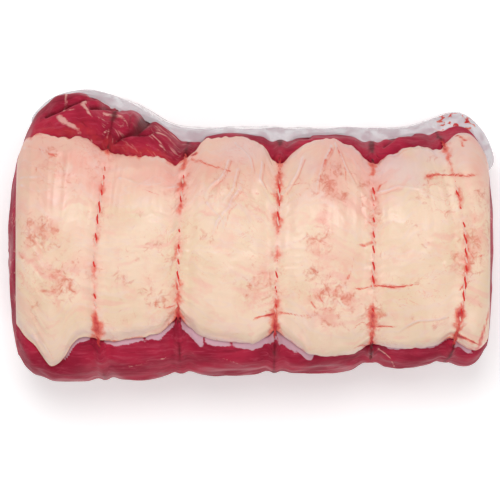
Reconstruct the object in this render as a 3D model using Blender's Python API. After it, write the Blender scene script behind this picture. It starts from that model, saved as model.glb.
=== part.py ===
"""A raw rolled beef joint: a boned muscle under a cap of fat, tied round with five loops of twine,
with a trimmed skirt of clear film along its back.

Metres, +Z up. The joint lies along X with its fat cap up. Its back, where the film is, faces +Y.
The origin is at the middle of the joint's box, on the surface that it lies on.

The meat, the cap, the loops and the film all come from one surface, skin(). It is a rounded section
whose size changes along the joint, pulled in at each loop and swollen between the loops.
"""

import math

import bmesh
import bpy
import numpy as np
from mathutils import Matrix, Vector

MM = 0.001

# ---- Driving dimensions ----------------------------------------------------------------------------
HEIGHT = 88 * MM  # muscle height at the middle, without the fat that stands proud of it
END_DROP = 3 * MM  # how much lower the crown is towards the ends
EQUATOR = 36 * MM  # height of the widest point of a section
REACH_BACK = 57.5 * MM  # from the long axis to the back
REACH_FRONT = 61 * MM  # from the long axis to the front
SLIMMER_RIGHT = 4.5 * MM  # how much less the front reaches near the right end
FULLER_LEFT = 2 * MM  # and how much more near the left
SQUARENESS = 2.5  # exponent of the rounded section: 2 is an ellipse, more is squarer
SAG = 1.15  # depth of the underside's curve, as a share of EQUATOR, before it is flattened
LUMP_HEIGHT = 0.6 * MM
LUMP_LENGTH = 13 * MM  # of the wave along the joint
LUMP_DRIFT = 29 * MM  # along the joint, for the wave round it to turn by a radian
SLIM_FROM = 20 * MM  # where the front starts to get slimmer
SLIM_OVER = 60 * MM

LEFT_CUT = -113.5 * MM  # where the knife cut the two ends
RIGHT_CUT = 116.0 * MM
LEFT_BULGE = 4.8 * MM  # how far the cut muscle swells out of each end
RIGHT_BULGE = 2.2 * MM
LEFT_ROUNDING = 22 * MM  # length over which the section shrinks to each cut
RIGHT_ROUNDING = 15 * MM
LEFT_SHARPNESS = 2.6  # exponents of those rounded ends: more is more abrupt
RIGHT_SHARPNESS = 3.0
BACK_END_SHARE = 0.66  # size of the section at the cuts, as a share of its full size
FRONT_END_SHARES = (0.78, 0.72)
CROWN_END_SHARE = 0.90

SHOULDER_AT = -82 * MM  # the fold of muscle that swells out behind the left end
SHOULDER_HALF = 52 * MM
SHOULDER_OUT = 21 * MM
HEEL_AT = 98 * MM  # the smaller swelling behind the right end
HEEL_HALF = 22 * MM
HEEL_OUT = 6 * MM

# Each loop of twine crosses these places along the joint: over its back, its crown and its front.
LEAN_REACH = 50 * MM
LOOPS = [
    {"back": -67 * MM, "crown": -74.8 * MM, "front": -72 * MM, "front_bite": 3.2 * MM},
    {"back": -31 * MM, "crown": -34.6 * MM, "front": -34 * MM, "front_bite": 3.6 * MM},
    {"back": 14.3 * MM, "crown": 13 * MM, "front": 11.6 * MM, "front_bite": 3.6 * MM},
    {"back": 59.2 * MM, "crown": 59.3 * MM, "front": 58.6 * MM, "front_bite": 6.5 * MM},
    {"back": 93.3 * MM, "crown": 103.9 * MM, "front": 97 * MM, "front_bite": 5.0 * MM},
]
CROWN_BITE = 3.2 * MM  # how deep the twine sinks into each side
BACK_BITE = 6.5 * MM
UNDER_BITE = 5.2 * MM
BITE_WIDTH = 4.2 * MM
BITE_TAIL = 0.9 * MM  # taken off the bite below the joint, so that its underside stays flat
LOW_SIDE = 0.6  # sine of the angle below the equator where the underside's bite is whole

TWINE_RADIUS = 0.95 * MM
PAST_EDGE = 0.12  # radians that a loop stays out over the cap past the edge of it
TWINE_CLEAR = 2.2 * MM  # from the bottom of the bite to the middle of the twine

# The fat cap. Its edge is pinched in at each loop and swells to a crest in each panel between them.
CAP_THICK = 8 * MM
CAP_EDGE_THICK = 3.6 * MM
CAP_PROUD = 2.8 * MM  # how far the cap stands above the bare muscle
CAP_GAP = 0.7 * MM  # room between cap and meat, so that their facets stay apart
BACK_PINCHES = [52 * MM, 46.5 * MM, 44 * MM, 41.5 * MM, 40.5 * MM, 50 * MM, 50 * MM]
BACK_CRESTS = [58 * MM, 47 * MM, 57.5 * MM, 54.5 * MM, 51.5 * MM, 59.5 * MM]
FRONT_PINCHES = [38 * MM, 42.5 * MM, 33 * MM, 40.5 * MM, 47 * MM, 45 * MM, 46 * MM]
FRONT_CRESTS = [44 * MM, 43.5 * MM, 45 * MM, 51 * MM, 47.5 * MM, 50 * MM]
SCALLOP = 3.2  # exponent of a crest's curve: more is flatter along the top
CAP_SHARE = 0.955  # the cap's edge never passes this share of the section's reach
FLAP_AT = -97 * MM  # the tongue of fat that hangs over the front left corner
FLAP_HALF = 14 * MM
FLAP_OUT = 14 * MM

# The film's skirt, which stands clear of the back and turns round the right-hand corner.
FILM_THICK = 0.6 * MM
FILM_CLEAR = 1.5 * MM  # how far it stands off the shoulder at the left
FILM_STAND = 0.8 * MM  # how much further off it is by the middle
FILM_TOP = 50 * MM
FILM_HEM = 1.2 * MM
FILM_FLARE = 0.4 * MM
FILM_LEFT = -110 * MM
FILM_UPRIGHT = 40 * MM  # stretch at the left where it stands upright
CORNER_AT = (97 * MM, 38 * MM)  # middle of the quarter ellipse round the corner
CORNER_RADII = (22.5 * MM, 31 * MM)
CORNER_JOIN = 9 * MM  # how long before the corner's middle the straight run ends
CORNER_TURN = math.radians(95)
FILM_EASES_AT = -90 * MM  # where it starts to stand further off, and over what length
FILM_EASES_OVER = 60 * MM

PANEL_STEPS = 7  # facets along each panel
PANEL_CROWDING = 0.11  # how much closer together they are beside each loop
CAP_STEPS = 13  # facets across the cap, and across the meat below it
BARE_STEPS = 25  # facets round the rest of a section
END_RINGS = (0.82, 0.55, 0.25)  # rings that close an end, as shares of its outline
PATH_STEPS = 160  # points that a loop's path is worked out from
TWINE_STEPS = 44  # facets along it
TWINE_SIDES = 6
FILM_STEPS = 6  # points down the film
FILM_LENGTHS = 26  # points along it, closer together at the left by this exponent
FILM_CROWDING = 1.5
CORNER_STEPS = 9  # points round its corner

MUSCLE_RED = (0.30, 0.025, 0.05, 1.0)
FAT_CREAM = (0.87, 0.66, 0.50, 1.0)
TWINE_WHITE = (0.85, 0.45, 0.36, 1.0)
FILM_CLEAR_GREY = (0.80, 0.78, 0.79, 0.35)


# ---- The one surface that everything follows -------------------------------------------------------
def swelling(x, middle, half):
    """A smooth bump of height 1 at middle that is gone half either side of it."""
    near = np.clip(np.abs(x - middle) / half, 0, 1)
    return (1 - near**2) ** 2


def end_rounding(x, left_share, right_share):
    """1 along the joint, falling on a rounded corner to these shares at the two cuts."""
    left = np.clip((LEFT_CUT - x) / LEFT_ROUNDING + 1, 0, 1)
    right = np.clip((x - RIGHT_CUT) / RIGHT_ROUNDING + 1, 0, 1)
    left_fall = (1 - left_share) * (1 - np.sqrt(1 - left**LEFT_SHARPNESS))
    right_fall = (1 - right_share) * (1 - np.sqrt(1 - right**RIGHT_SHARPNESS))
    return 1 - left_fall - right_fall


def back_reach(x):
    swollen = SHOULDER_OUT * swelling(x, SHOULDER_AT, SHOULDER_HALF)
    heel = HEEL_OUT * swelling(x, HEEL_AT, HEEL_HALF)
    return (REACH_BACK + swollen + heel) * end_rounding(x, BACK_END_SHARE, BACK_END_SHARE)


def front_reach(x):
    slimmer = SLIMMER_RIGHT * np.clip((x - SLIM_FROM) / SLIM_OVER, 0, 1)
    fuller = FULLER_LEFT * swelling(x, SHOULDER_AT, SHOULDER_HALF)
    return (REACH_FRONT + fuller - slimmer) * end_rounding(x, *FRONT_END_SHARES)


def crown_height(x):
    rounded = end_rounding(x, CROWN_END_SHARE, CROWN_END_SHARE)
    return HEIGHT * rounded - END_DROP * (x / RIGHT_CUT) ** 2


def loop_place(loop, angle):
    """Where along the joint a loop lies, at this angle round it."""
    across = REACH_BACK * np.cos(angle) / LEAN_REACH
    lean = (loop["back"] - loop["front"]) / 2
    bow = (loop["back"] + loop["front"]) / 2 - loop["crown"]
    return loop["crown"] + lean * across + bow * across**2


def bite(x, angle):
    """How deep the twine has pulled the surface in."""
    up, out = np.sin(angle), np.cos(angle)
    below = np.clip(-up / LOW_SIDE, 0, 1) ** 2
    depth = 0
    for loop in LOOPS:
        side = BACK_BITE * np.maximum(out, 0) ** 2 + loop["front_bite"] * np.minimum(out, 0) ** 2
        deepest = CROWN_BITE * np.maximum(up, 0) ** 2 + side * (1 - below) + UNDER_BITE * below
        away = (x - loop_place(loop, angle)) / BITE_WIDTH
        depth = depth + deepest / (1 + away**2)
    return depth


def unevenness(x, angle):
    """The slow lumps of a hand-rolled joint: a wave along it times a wave round it."""
    long_wave = np.sin(x / LUMP_LENGTH + 1.7 * np.sin(2 * angle))
    round_wave = np.sin(3 * angle + x / LUMP_DRIFT + 0.6)
    return LUMP_HEIGHT * long_wave * round_wave


def skin(x, angle, out=0.0):
    """The point of the muscle's surface at this place and angle, moved out by this much."""
    across, up = np.cos(angle), np.sin(angle)
    half_width = np.where(across > 0, back_reach(x), front_reach(x))
    half_height = np.where(up > 0, crown_height(x) - EQUATOR, EQUATOR * SAG)
    radius = (
        (np.abs(across) / half_width) ** SQUARENESS + (np.abs(up) / half_height) ** SQUARENESS
    ) ** (-1 / SQUARENESS)
    # The surface below flattens the underside before the twine and the lumps shape it.
    flat = EQUATOR / np.maximum(-up, 1e-6)
    resting = (radius > flat) & (up < 0)
    radius = np.where(resting, flat, radius)
    lumps = unevenness(x, angle) * np.clip(1 + up / LOW_SIDE, 0, 1)
    radius = radius - trimmed_bite(x, angle, up) + lumps + out
    return np.stack([x + 0 * radius, radius * across, EQUATOR + radius * up], axis=-1)


def trimmed_bite(x, angle, up):
    """The bite, without the tail that would lift the flat underside between two loops."""
    below = np.clip(-up / LOW_SIDE, 0, 1) ** 2
    return np.maximum(bite(x, angle) - BITE_TAIL * below, 0)


def place_along(panels, angle):
    """Turns a place counted in panels, 0 at the left cut and 6 at the right one, into metres."""
    stations = [LEFT_CUT + 0 * angle]
    stations += [loop_place(loop, angle) for loop in LOOPS]
    stations += [RIGHT_CUT + 0 * angle]
    stations = np.stack(stations)
    first = np.clip(np.floor(panels).astype(int), 0, len(LOOPS))
    part = panels - first
    column = np.arange(len(angle))
    return stations[first, column] * (1 - part) + stations[first + 1, column] * part


def panel_places():
    """Places along the joint in panels, closer together beside each loop."""
    steps = np.arange(PANEL_STEPS) / PANEL_STEPS
    eased = steps - PANEL_CROWDING * np.sin(2 * np.pi * steps)
    inside = [panel + eased for panel in range(len(LOOPS) + 1)]
    return np.append(np.concatenate(inside), len(LOOPS) + 1.0)


# ---- The fat cap's edge ----------------------------------------------------------------------------
def scalloped(panels, pinches, crests):
    """The edge of the cap: a pinch at each loop and a crest between two of them."""
    first = np.clip(np.floor(panels).astype(int), 0, len(crests) - 1)
    part = panels - first
    before, after = np.array(pinches)[first], np.array(pinches)[first + 1]
    rise = np.array(crests)[first] - (before + after) / 2
    return before * (1 - part) + after * part + rise * (1 - np.abs(2 * part - 1) ** SCALLOP)


def edge_angle(panels, side):
    """The angle round the joint at which the cap ends, at its back (side 1) or its front (side -1)."""
    if side > 0:
        wanted = scalloped(panels, BACK_PINCHES, BACK_CRESTS)
    else:
        wanted = scalloped(panels, FRONT_PINCHES, FRONT_CRESTS)
    angle = np.full_like(panels, math.pi / 2 - side * math.pi / 4)
    for _ in range(6):  # the place along depends on the angle, and the angle on the place
        x = place_along(panels, angle)
        reach = back_reach(x) if side > 0 else front_reach(x)
        flap = FLAP_OUT * swelling(x, FLAP_AT, FLAP_HALF) if side < 0 else 0
        across = np.minimum(wanted + flap, CAP_SHARE * reach)
        high = (crown_height(x) - EQUATOR) * (1 - (across / reach) ** SQUARENESS) ** (
            1 / SQUARENESS
        )
        angle = np.arctan2(high, side * across)
    return angle


def cap_thickness(share):
    """Thickness at this share of the way across the cap: thin at both edges."""
    middle = 1 - np.abs(2 * share - 1) ** 4
    return CAP_EDGE_THICK + (CAP_THICK - CAP_EDGE_THICK) * middle


# ---- Meshes ----------------------------------------------------------------------------------------
def grid_faces(rows, columns, wrap):
    """Triangles between a grid's points, closed round its columns if wrap is set."""
    last = columns if wrap else columns - 1
    faces = []
    for row in range(rows - 1):
        for column in range(last):
            beside = (column + 1) % columns
            here, ahead = row * columns, (row + 1) * columns
            faces.append((here + column, here + beside, ahead + beside))
            faces.append((here + column, ahead + beside, ahead + column))
    return faces


def finish(name, points, faces, colour, roughness, collection):
    """Makes the named object, with its faces pointing out and its own material."""
    mesh = bpy.data.meshes.new(name)
    mesh.from_pydata([tuple(point) for point in points], [], faces)
    shape = bmesh.new()
    shape.from_mesh(mesh)
    bmesh.ops.recalc_face_normals(shape, faces=shape.faces)
    shape.to_mesh(mesh)
    shape.free()
    mesh.shade_smooth()
    mesh.set_sharp_from_angle(angle=math.radians(40))
    material = bpy.data.materials.new(name)
    material.use_nodes = True
    shader = material.node_tree.nodes["Principled BSDF"]
    shader.inputs["Base Color"].default_value = colour
    shader.inputs["Roughness"].default_value = roughness
    shader.inputs["Metallic"].default_value = 0.0
    shader.inputs["Alpha"].default_value = colour[3]
    mesh.materials.append(material)
    made = bpy.data.objects.new(name, mesh)
    collection.objects.link(made)
    return made


def closing_rings(outline, bulge):
    """Rings that close a cut end, each smaller than the last and further out, then the middle point."""
    middle = outline.mean(axis=0)
    rings = []
    for share in END_RINGS:
        ring = middle + (outline - middle) * share
        ring[:, 0] += bulge * (1 - share**2)
        rings.append(ring)
    tip = middle + np.array([bulge, 0, 0])
    return rings, tip


def meat_points():
    """The muscle's grid. Under the cap its columns follow the cap's, so that their facets match."""
    share = np.arange(CAP_STEPS) / CAP_STEPS
    bare = np.arange(BARE_STEPS) / BARE_STEPS
    rows = []
    for panels in panel_places():
        along = np.full(CAP_STEPS + BARE_STEPS, panels)
        back, front = edge_angle(along, 1), edge_angle(along, -1)
        covered = back[:CAP_STEPS] + (front - back)[:CAP_STEPS] * share
        round_below = front[CAP_STEPS:] + (2 * math.pi + back - front)[CAP_STEPS:] * bare
        angle = np.append(covered, round_below)
        recess = cap_thickness(share) - CAP_PROUD + CAP_GAP
        under_edge = np.where(bare == 0, CAP_EDGE_THICK - CAP_PROUD + CAP_GAP, 0)
        rows.append(skin(place_along(along, angle), angle, -np.append(recess, under_edge)))
    return rows


def make_meat(collection):
    rows = meat_points()
    left, left_tip = closing_rings(rows[0], -LEFT_BULGE)
    right, right_tip = closing_rings(rows[-1], RIGHT_BULGE)
    rows = left[::-1] + rows + right
    points = np.concatenate(rows + [left_tip[None], right_tip[None]])
    columns = CAP_STEPS + BARE_STEPS
    faces = grid_faces(len(rows), columns, wrap=True)
    last_row = (len(rows) - 1) * columns
    for column in range(columns):
        beside = (column + 1) % columns
        faces.append((beside, column, len(points) - 2))
        faces.append((last_row + column, last_row + beside, len(points) - 1))
    return finish("meat", points, faces, MUSCLE_RED, 0.35, collection)


def cap_rows(inner):
    """The outer or inner grid of the fat cap, from its back edge to its front edge."""
    share = np.arange(CAP_STEPS + 1) / CAP_STEPS
    rows = []
    for panels in panel_places():
        along = np.full_like(share, panels)
        back, front = edge_angle(along, 1), edge_angle(along, -1)
        angle = back + (front - back) * share
        x = place_along(along, angle)
        out = CAP_PROUD - (cap_thickness(share) if inner else 0)
        rows.append(skin(x, angle, out))
    return rows


def make_fat_cap(collection):
    outer, inner = cap_rows(inner=False), cap_rows(inner=True)
    columns, rows = CAP_STEPS + 1, len(outer)
    points = np.concatenate(outer + inner)
    below = rows * columns  # index of the inner grid's first point
    faces = grid_faces(rows, columns, wrap=False)
    faces += [tuple(point + below for point in face[::-1]) for face in faces]
    for row in range(rows - 1):  # the two long edges
        for column in (0, columns - 1):
            here, there = row * columns + column, (row + 1) * columns + column
            faces.append((here, there, there + below, here + below))
    for column in range(columns - 1):  # the two cut ends
        for row in (0, rows - 1):
            here = row * columns + column
            faces.append((here + 1, here, here + below, here + 1 + below))
    return finish("fat_cap", points, faces, FAT_CREAM, 0.45, collection)


def taut(path):
    """The convex outline of a loop's path in its own plane, which is the way that taut twine runs."""
    order = path[np.lexsort((path[:, 2], path[:, 1]))]
    halves = []
    for points in (order, order[::-1]):
        half = []
        for point in points:
            while len(half) > 1:
                one, two = half[-1] - half[-2], point - half[-1]
                if one[1] * two[2] - one[2] * two[1] > 0:
                    break
                half.pop()
            half.append(point)
        halves += half[:-1]
    return np.array(halves)


def loop_path(number):
    """Evenly spaced points along a loop, lying in the bite over the cap and round the meat."""
    angle = np.arange(PATH_STEPS) * 2 * math.pi / PATH_STEPS
    panels = np.full_like(angle, number + 1.0)
    back, front = edge_angle(panels, 1), edge_angle(panels, -1)
    over_cap = (angle > back - PAST_EDGE) & (angle < front + PAST_EDGE)
    out = np.where(over_cap, CAP_PROUD, 0) + TWINE_CLEAR
    path = taut(skin(place_along(panels, angle), angle, out))
    closed = np.vstack([path, path[:1]])
    length = np.append(0, np.cumsum(np.linalg.norm(np.diff(closed, axis=0), axis=1)))
    even = np.arange(TWINE_STEPS) * length[-1] / TWINE_STEPS
    across, up = (np.interp(even, length, closed[:, k]) for k in (1, 2))
    along = loop_place(LOOPS[number], np.arctan2(up - EQUATOR, across))
    return np.stack([along, across, up], axis=1)


def make_twine(number, collection):
    path = loop_path(number)
    ahead, behind = np.roll(path, -1, axis=0), np.roll(path, 1, axis=0)
    points = []
    for here, after, before in zip(path, ahead, behind):
        forward = Vector(after - before).normalized()
        side = Vector((1, 0, 0)) - forward * forward.x
        frame = Matrix((side.normalized(), forward.cross(side).normalized(), forward)).transposed()
        for corner in range(TWINE_SIDES):
            turn = 2 * math.pi * corner / TWINE_SIDES
            spoke = Vector((math.cos(turn), math.sin(turn), 0)) * TWINE_RADIUS
            points.append(Vector(here) + frame @ spoke)
    faces = grid_faces(len(path) + 1, TWINE_SIDES, wrap=True)
    total = len(points)
    faces = [tuple(point % total for point in face) for face in faces]
    return finish(f"twine_{number + 1}", points, faces, TWINE_WHITE, 0.7, collection)


def film_plan():
    """The film's line seen from above: its points, and how far round the corner each one is."""
    crowded_left = np.linspace(0, 1, FILM_LENGTHS) ** FILM_CROWDING
    straight = FILM_LEFT + (CORNER_AT[0] - CORNER_JOIN - FILM_LEFT) * crowded_left
    away = FILM_STAND * np.clip((straight - FILM_EASES_AT) / FILM_EASES_OVER, 0, 1)
    taut_over = back_reach(straight) + FILM_CLEAR + away
    turn = np.linspace(0, CORNER_TURN, CORNER_STEPS)
    corner_x = CORNER_AT[0] + CORNER_RADII[0] * np.sin(turn)
    corner_y = CORNER_AT[1] + CORNER_RADII[1] * np.cos(turn)
    points = np.stack([np.append(straight, corner_x), np.append(taut_over, corner_y)], axis=1)
    return points, np.append(0 * straight, np.clip(turn / (math.pi / 2), 0, 1))


def make_film(collection):
    plan, round_corner = film_plan()
    slope = np.gradient(plan, axis=0)
    slope /= np.linalg.norm(slope, axis=1)[:, None]
    outward = np.stack([-slope[:, 1], slope[:, 0]], axis=1)
    tall = crown_height(0.0) - EQUATOR
    heights = np.linspace(FILM_TOP, FILM_HEM, FILM_STEPS)
    points = []
    for thickness in (0, FILM_THICK):
        for point, normal, corner in zip(plan, outward, round_corner):
            from_left = min((point[0] - FILM_LEFT) / FILM_UPRIGHT, 1)
            for height in heights:
                above = max(height - EQUATOR, 0) / tall
                lean_in = REACH_BACK * (1 - (1 - above**SQUARENESS) ** (1 / SQUARENESS))
                hem = max(1 - height / EQUATOR, 0) ** 2 * FILM_FLARE
                out = hem + thickness - lean_in * (1 - corner) * from_left
                x, y = point + normal * out
                points.append((x, y, height))
    columns, rows = len(heights), len(plan)
    outer = rows * columns
    faces = grid_faces(rows, columns, wrap=False)
    faces += [tuple(point + outer for point in face[::-1]) for face in faces]
    for row in range(rows - 1):
        for column in (0, columns - 1):
            here, there = row * columns + column, (row + 1) * columns + column
            faces.append((here, there, there + outer, here + outer))
    for column in range(columns - 1):
        for row in (0, rows - 1):
            here = row * columns + column
            faces.append((here + 1, here, here + outer, here + 1 + outer))
    return finish("film", points, faces, FILM_CLEAR_GREY, 0.2, collection)


def centre_on_origin(made):
    """Moves every mesh so that the joint's box is centred over the origin and stands on it."""
    corners = np.array([vertex.co for each in made for vertex in each.data.vertices])
    low, high = corners.min(axis=0), corners.max(axis=0)
    shift = Matrix.Translation((-(low[0] + high[0]) / 2, -(low[1] + high[1]) / 2, -low[2]))
    for each in made:
        each.data.transform(shift)


def main():
    for old in list(bpy.data.objects):
        bpy.data.objects.remove(old)
    collection = bpy.context.scene.collection
    made = [make_meat(collection), make_fat_cap(collection)]
    made += [make_twine(number, collection) for number in range(len(LOOPS))]
    made.append(make_film(collection))
    centre_on_origin(made)


main()
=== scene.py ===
# %% [markdown]
# # A rolled and tied beef joint
#
# This is a raw joint as a butcher ties it: a long muscle, rolled with a thick cap of fat on top, held
# by five loops of red and white twine, and packed in clear film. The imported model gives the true
# sizes and places, and this script makes the surface that you would see up close.
#
# Lengths are in metres. X runs along the joint, Y points to its back, where the film is, and Z is up.

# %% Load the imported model
import math

import bpy
import numpy as np
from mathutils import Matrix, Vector
from mathutils.bvhtree import BVHTree


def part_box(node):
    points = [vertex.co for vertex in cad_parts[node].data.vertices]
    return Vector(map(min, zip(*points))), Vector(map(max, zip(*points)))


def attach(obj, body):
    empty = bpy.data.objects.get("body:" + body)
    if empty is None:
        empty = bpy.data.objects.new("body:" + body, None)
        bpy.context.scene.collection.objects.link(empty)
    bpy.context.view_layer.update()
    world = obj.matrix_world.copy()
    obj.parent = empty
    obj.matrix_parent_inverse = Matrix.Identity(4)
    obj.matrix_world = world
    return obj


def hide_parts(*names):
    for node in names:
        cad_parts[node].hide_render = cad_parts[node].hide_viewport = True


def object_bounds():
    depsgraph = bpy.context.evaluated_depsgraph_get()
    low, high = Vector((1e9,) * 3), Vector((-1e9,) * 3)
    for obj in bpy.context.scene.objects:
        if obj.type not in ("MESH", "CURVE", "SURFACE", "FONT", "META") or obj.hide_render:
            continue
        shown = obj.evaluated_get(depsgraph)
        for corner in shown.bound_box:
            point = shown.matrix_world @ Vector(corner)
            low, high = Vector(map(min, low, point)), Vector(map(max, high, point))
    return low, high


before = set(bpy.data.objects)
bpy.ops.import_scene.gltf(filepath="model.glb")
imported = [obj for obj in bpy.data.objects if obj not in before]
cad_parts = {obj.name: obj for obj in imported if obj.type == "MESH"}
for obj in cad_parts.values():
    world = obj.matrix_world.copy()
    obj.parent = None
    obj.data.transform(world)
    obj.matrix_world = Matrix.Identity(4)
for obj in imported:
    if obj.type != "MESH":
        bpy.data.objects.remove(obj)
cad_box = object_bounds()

MM = 0.001
LOOPS = [f"twine_{number}" for number in range(1, 6)]
low, high = (np.array(corner) for corner in cad_box)
print("joint, in mm:", np.round((high - low) / MM))

# %% [markdown]
# ## How the surface is laid out
#
# The joint is a long rounded roll, so every point on its side has a place along it and an angle round
# it. Both are measured from an axis inside the meat. Angle 0 is the back, a quarter turn is the crown
# and half a turn is the front. A sculptor could do this joint by hand from a sphere, but a grid of
# rows and columns can be shaped by formulas, and it gives the same result each time.

# %% The axis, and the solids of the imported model
twine_low, twine_high = (np.array(corner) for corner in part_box(LOOPS[2]))
AXIS_Y = (twine_low[1] + twine_high[1]) / 2
AXIS_Z = 0.42 * high[2]
print("axis at y, z in mm:", round(AXIS_Y / MM, 1), round(AXIS_Z / MM, 1))


def solid(node):
    """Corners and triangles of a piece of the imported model."""
    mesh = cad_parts[node].data
    mesh.calc_loop_triangles()
    corners = np.empty(3 * len(mesh.vertices))
    mesh.vertices.foreach_get("co", corners)
    triangles = np.empty(3 * len(mesh.loop_triangles), dtype=np.int32)
    mesh.loop_triangles.foreach_get("vertices", triangles)
    return corners.reshape(-1, 3), triangles.reshape(-1, 3)


def tree_of(node):
    corners, triangles = solid(node)
    return BVHTree.FromPolygons(corners.tolist(), triangles.tolist())


trees = {node: tree_of(node) for node in ("meat", "fat_cap")}

# %% [markdown]
# ## Where the loops run
#
# The twine is pulled tight, so it leans and bows a little from back to front. The middle of each loop
# is found as an average of its corners near each angle, which turns the solid tube back into a line.

# %% The line of each loop
ANGLES = np.radians(np.arange(-180, 181, 1.0))
BLEND_ANGLE = math.radians(3.5)


def loop_line(node):
    """Place along the joint, and distance from the axis, of a loop at each of ANGLES."""
    corners = solid(node)[0]
    angle = np.arctan2(corners[:, 2] - AXIS_Z, corners[:, 1] - AXIS_Y)
    reach = np.hypot(corners[:, 1] - AXIS_Y, corners[:, 2] - AXIS_Z)
    apart = np.angle(np.exp(1j * (ANGLES[:, None] - angle[None, :])))
    share = np.exp(-0.5 * (apart / BLEND_ANGLE) ** 2)
    share /= share.sum(axis=1, keepdims=True)
    return share @ corners[:, 0], share @ reach


lines = [loop_line(node) for node in LOOPS]


def wrapped(angle):
    return (angle + math.pi) % (2 * math.pi) - math.pi


def loop_x(number, angle):
    return np.interp(wrapped(angle), ANGLES, lines[number][0])


def loop_reach(number, angle):
    return np.interp(wrapped(angle), ANGLES, lines[number][1])


cap_low, cap_high = (np.array(corner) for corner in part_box("fat_cap"))
LEFT_CUT, RIGHT_CUT = cap_low[0], cap_high[0]


def along(panels, angle):
    """Metres along the joint of a place counted in panels: 0 is the left cut, 1 to 5 the loops."""
    stops = [np.full_like(angle, LEFT_CUT)]
    stops += [loop_x(number, angle) for number in range(len(LOOPS))]
    stops += [np.full_like(angle, RIGHT_CUT)]
    stops = np.stack(stops)
    panel = np.clip(np.floor(panels).astype(int), 0, len(LOOPS))
    part = panels - panel
    before = np.take_along_axis(stops, panel[None], axis=0)[0]
    after = np.take_along_axis(stops, panel[None] + 1, axis=0)[0]
    return before * (1 - part) + after * part


crowns = [LEFT_CUT] + [float(loop_x(number, math.pi / 2)) for number in range(5)] + [RIGHT_CUT]
print("loops cross the crown at, in mm:", np.round(np.array(crowns[1:-1]) / MM))

# %% [markdown]
# ## Tools for shaping a grid
#
# Real meat has bumps of many sizes. Random numbers blurred over the grid make them: a wide blur makes
# slow lumps and a narrow one makes fine ones, and a blur that is longer one way makes grain. Blender's
# displacement textures could do it too, but here the same numbers also steer the colours.

# %% Blur and bumps
def blur(field, steps, axis):
    """Blurs a grid along one axis with a bell curve this many grid steps wide."""
    reach = max(1, int(3 * steps))
    taps = np.exp(-0.5 * (np.arange(-reach, reach + 1) / steps) ** 2)
    padding = [(reach, reach) if each == axis else (0, 0) for each in (0, 1)]
    padded = np.pad(field, padding, mode="symmetric")
    size = field.shape[axis]
    total = sum(
        tap * np.take(padded, np.arange(step, step + size), axis) for step, tap in enumerate(taps)
    )
    return total / taps.sum()


def blur_both(field, along_steps, across_steps):
    return blur(blur(field, along_steps, 0), across_steps, 1)


def bumps(shape, along_steps, across_steps, seed):
    """A random field with bumps of this size, spread evenly about 0, mostly within 1 of it."""
    rough = np.random.default_rng(seed).standard_normal(shape)
    smooth = blur_both(rough, along_steps, across_steps)
    return smooth / (2 * smooth.std())


def wavy_line(count, steps, seed):
    """Random waves of this size along a line of points."""
    return bumps((count, 1), steps, 0.4, seed)[:, 0]


def relief_of(shape, layers):
    """Bumps of several sizes added up; a layer is its height in mm, its two sizes and its seed."""
    return sum(height * MM * bumps(shape, *size_and_seed) for height, *size_and_seed in layers)


def ease(value, start, stop):
    """0 before start, 1 after stop, and smooth between."""
    part = np.clip((value - start) / (stop - start), 0, 1)
    return part * part * (3 - 2 * part)


print("a strip of waves:", np.round(wavy_line(6, 1.5, 0), 2))


# %% Lines and strokes seen from above
def gap_to_line(x, y, points):
    """How far each place lies from a line seen from above, and the share of the line that is past."""
    best = np.full(x.shape, np.inf)
    past = np.zeros(x.shape)
    points = np.array(points) * MM
    lengths = np.linalg.norm(np.diff(points, axis=0), axis=1)
    total, done = lengths.sum(), 0.0
    for start, stop, length in zip(points, points[1:], lengths):
        way = (stop - start) / length
        run = np.clip((x - start[0]) * way[0] + (y - start[1]) * way[1], 0, length)
        gap = np.hypot(x - start[0] - run * way[0], y - start[1] - run * way[1])
        nearer = gap < best
        best = np.where(nearer, gap, best)
        past = np.where(nearer, (done + run) / total, past)
        done += length
    return best, past


def stroke(x, y, points, width, strength):
    """A painted stroke along such a line, which gets narrower and fainter towards its far end."""
    gap, past = gap_to_line(x, y, points)
    half_width = width * MM * (1.1 - 0.5 * past)
    return strength * np.exp(-((gap / half_width) ** 2)) * (1 - 0.5 * past**3)


# %% [markdown]
# ## Reading the solids at any place
#
# A ray from far outside towards the axis stops at a solid's skin. Done for every place of the grid, it
# turns the faceted solid into a table of distances, and a light blur takes the facets away.

# %% Distance from the axis to a solid's skin
FAR = 0.2


def skin_reach(node, x, angle):
    tree = trees[node]
    reach = np.full(x.shape, np.nan)
    for index in np.ndindex(x.shape):
        across, up = math.cos(angle[index]), math.sin(angle[index])
        start = Vector((x[index], AXIS_Y + FAR * across, AXIS_Z + FAR * up))
        hit = tree.ray_cast(start, Vector((0, -across, -up)), FAR)
        if hit[0] is not None:
            reach[index] = FAR - hit[3]
    return reach


def placed(x, angle, reach):
    return np.stack([x, AXIS_Y + reach * np.cos(angle), AXIS_Z + reach * np.sin(angle)], axis=-1)


crown_reach = skin_reach("fat_cap", np.zeros(1), np.full(1, math.pi / 2))[0]
print("crown above the axis, in mm:", round(crown_reach / MM, 1))


# %% Rows of the grids
def panel_rows(step):
    """Places along the joint in panels, this far apart, with one on every loop."""
    rows = [np.array([0.0])]
    for panel, (start, stop) in enumerate(zip(crowns, crowns[1:])):
        count = max(4, round((stop - start) / step))
        rows.append(panel + np.arange(1, count + 1) / count)
    return np.concatenate(rows)


print("rows at every 5 mm:", len(panel_rows(5 * MM)))


# %% [markdown]
# ## The edge of the fat cap
#
# The cap ends in scallops: the twine pinches it in and it spreads between two loops. Its edge is read
# from the solid by looking for the first and last angle at which a ray from the axis meets it. Real fat
# tears and frays where the knife left it, so some fine waves are added.

# %% Find the edge
END_GAP = 0.04  # share of a panel that is kept clear of the cut ends, where a ray could slip past
HALVINGS = 10


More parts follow.
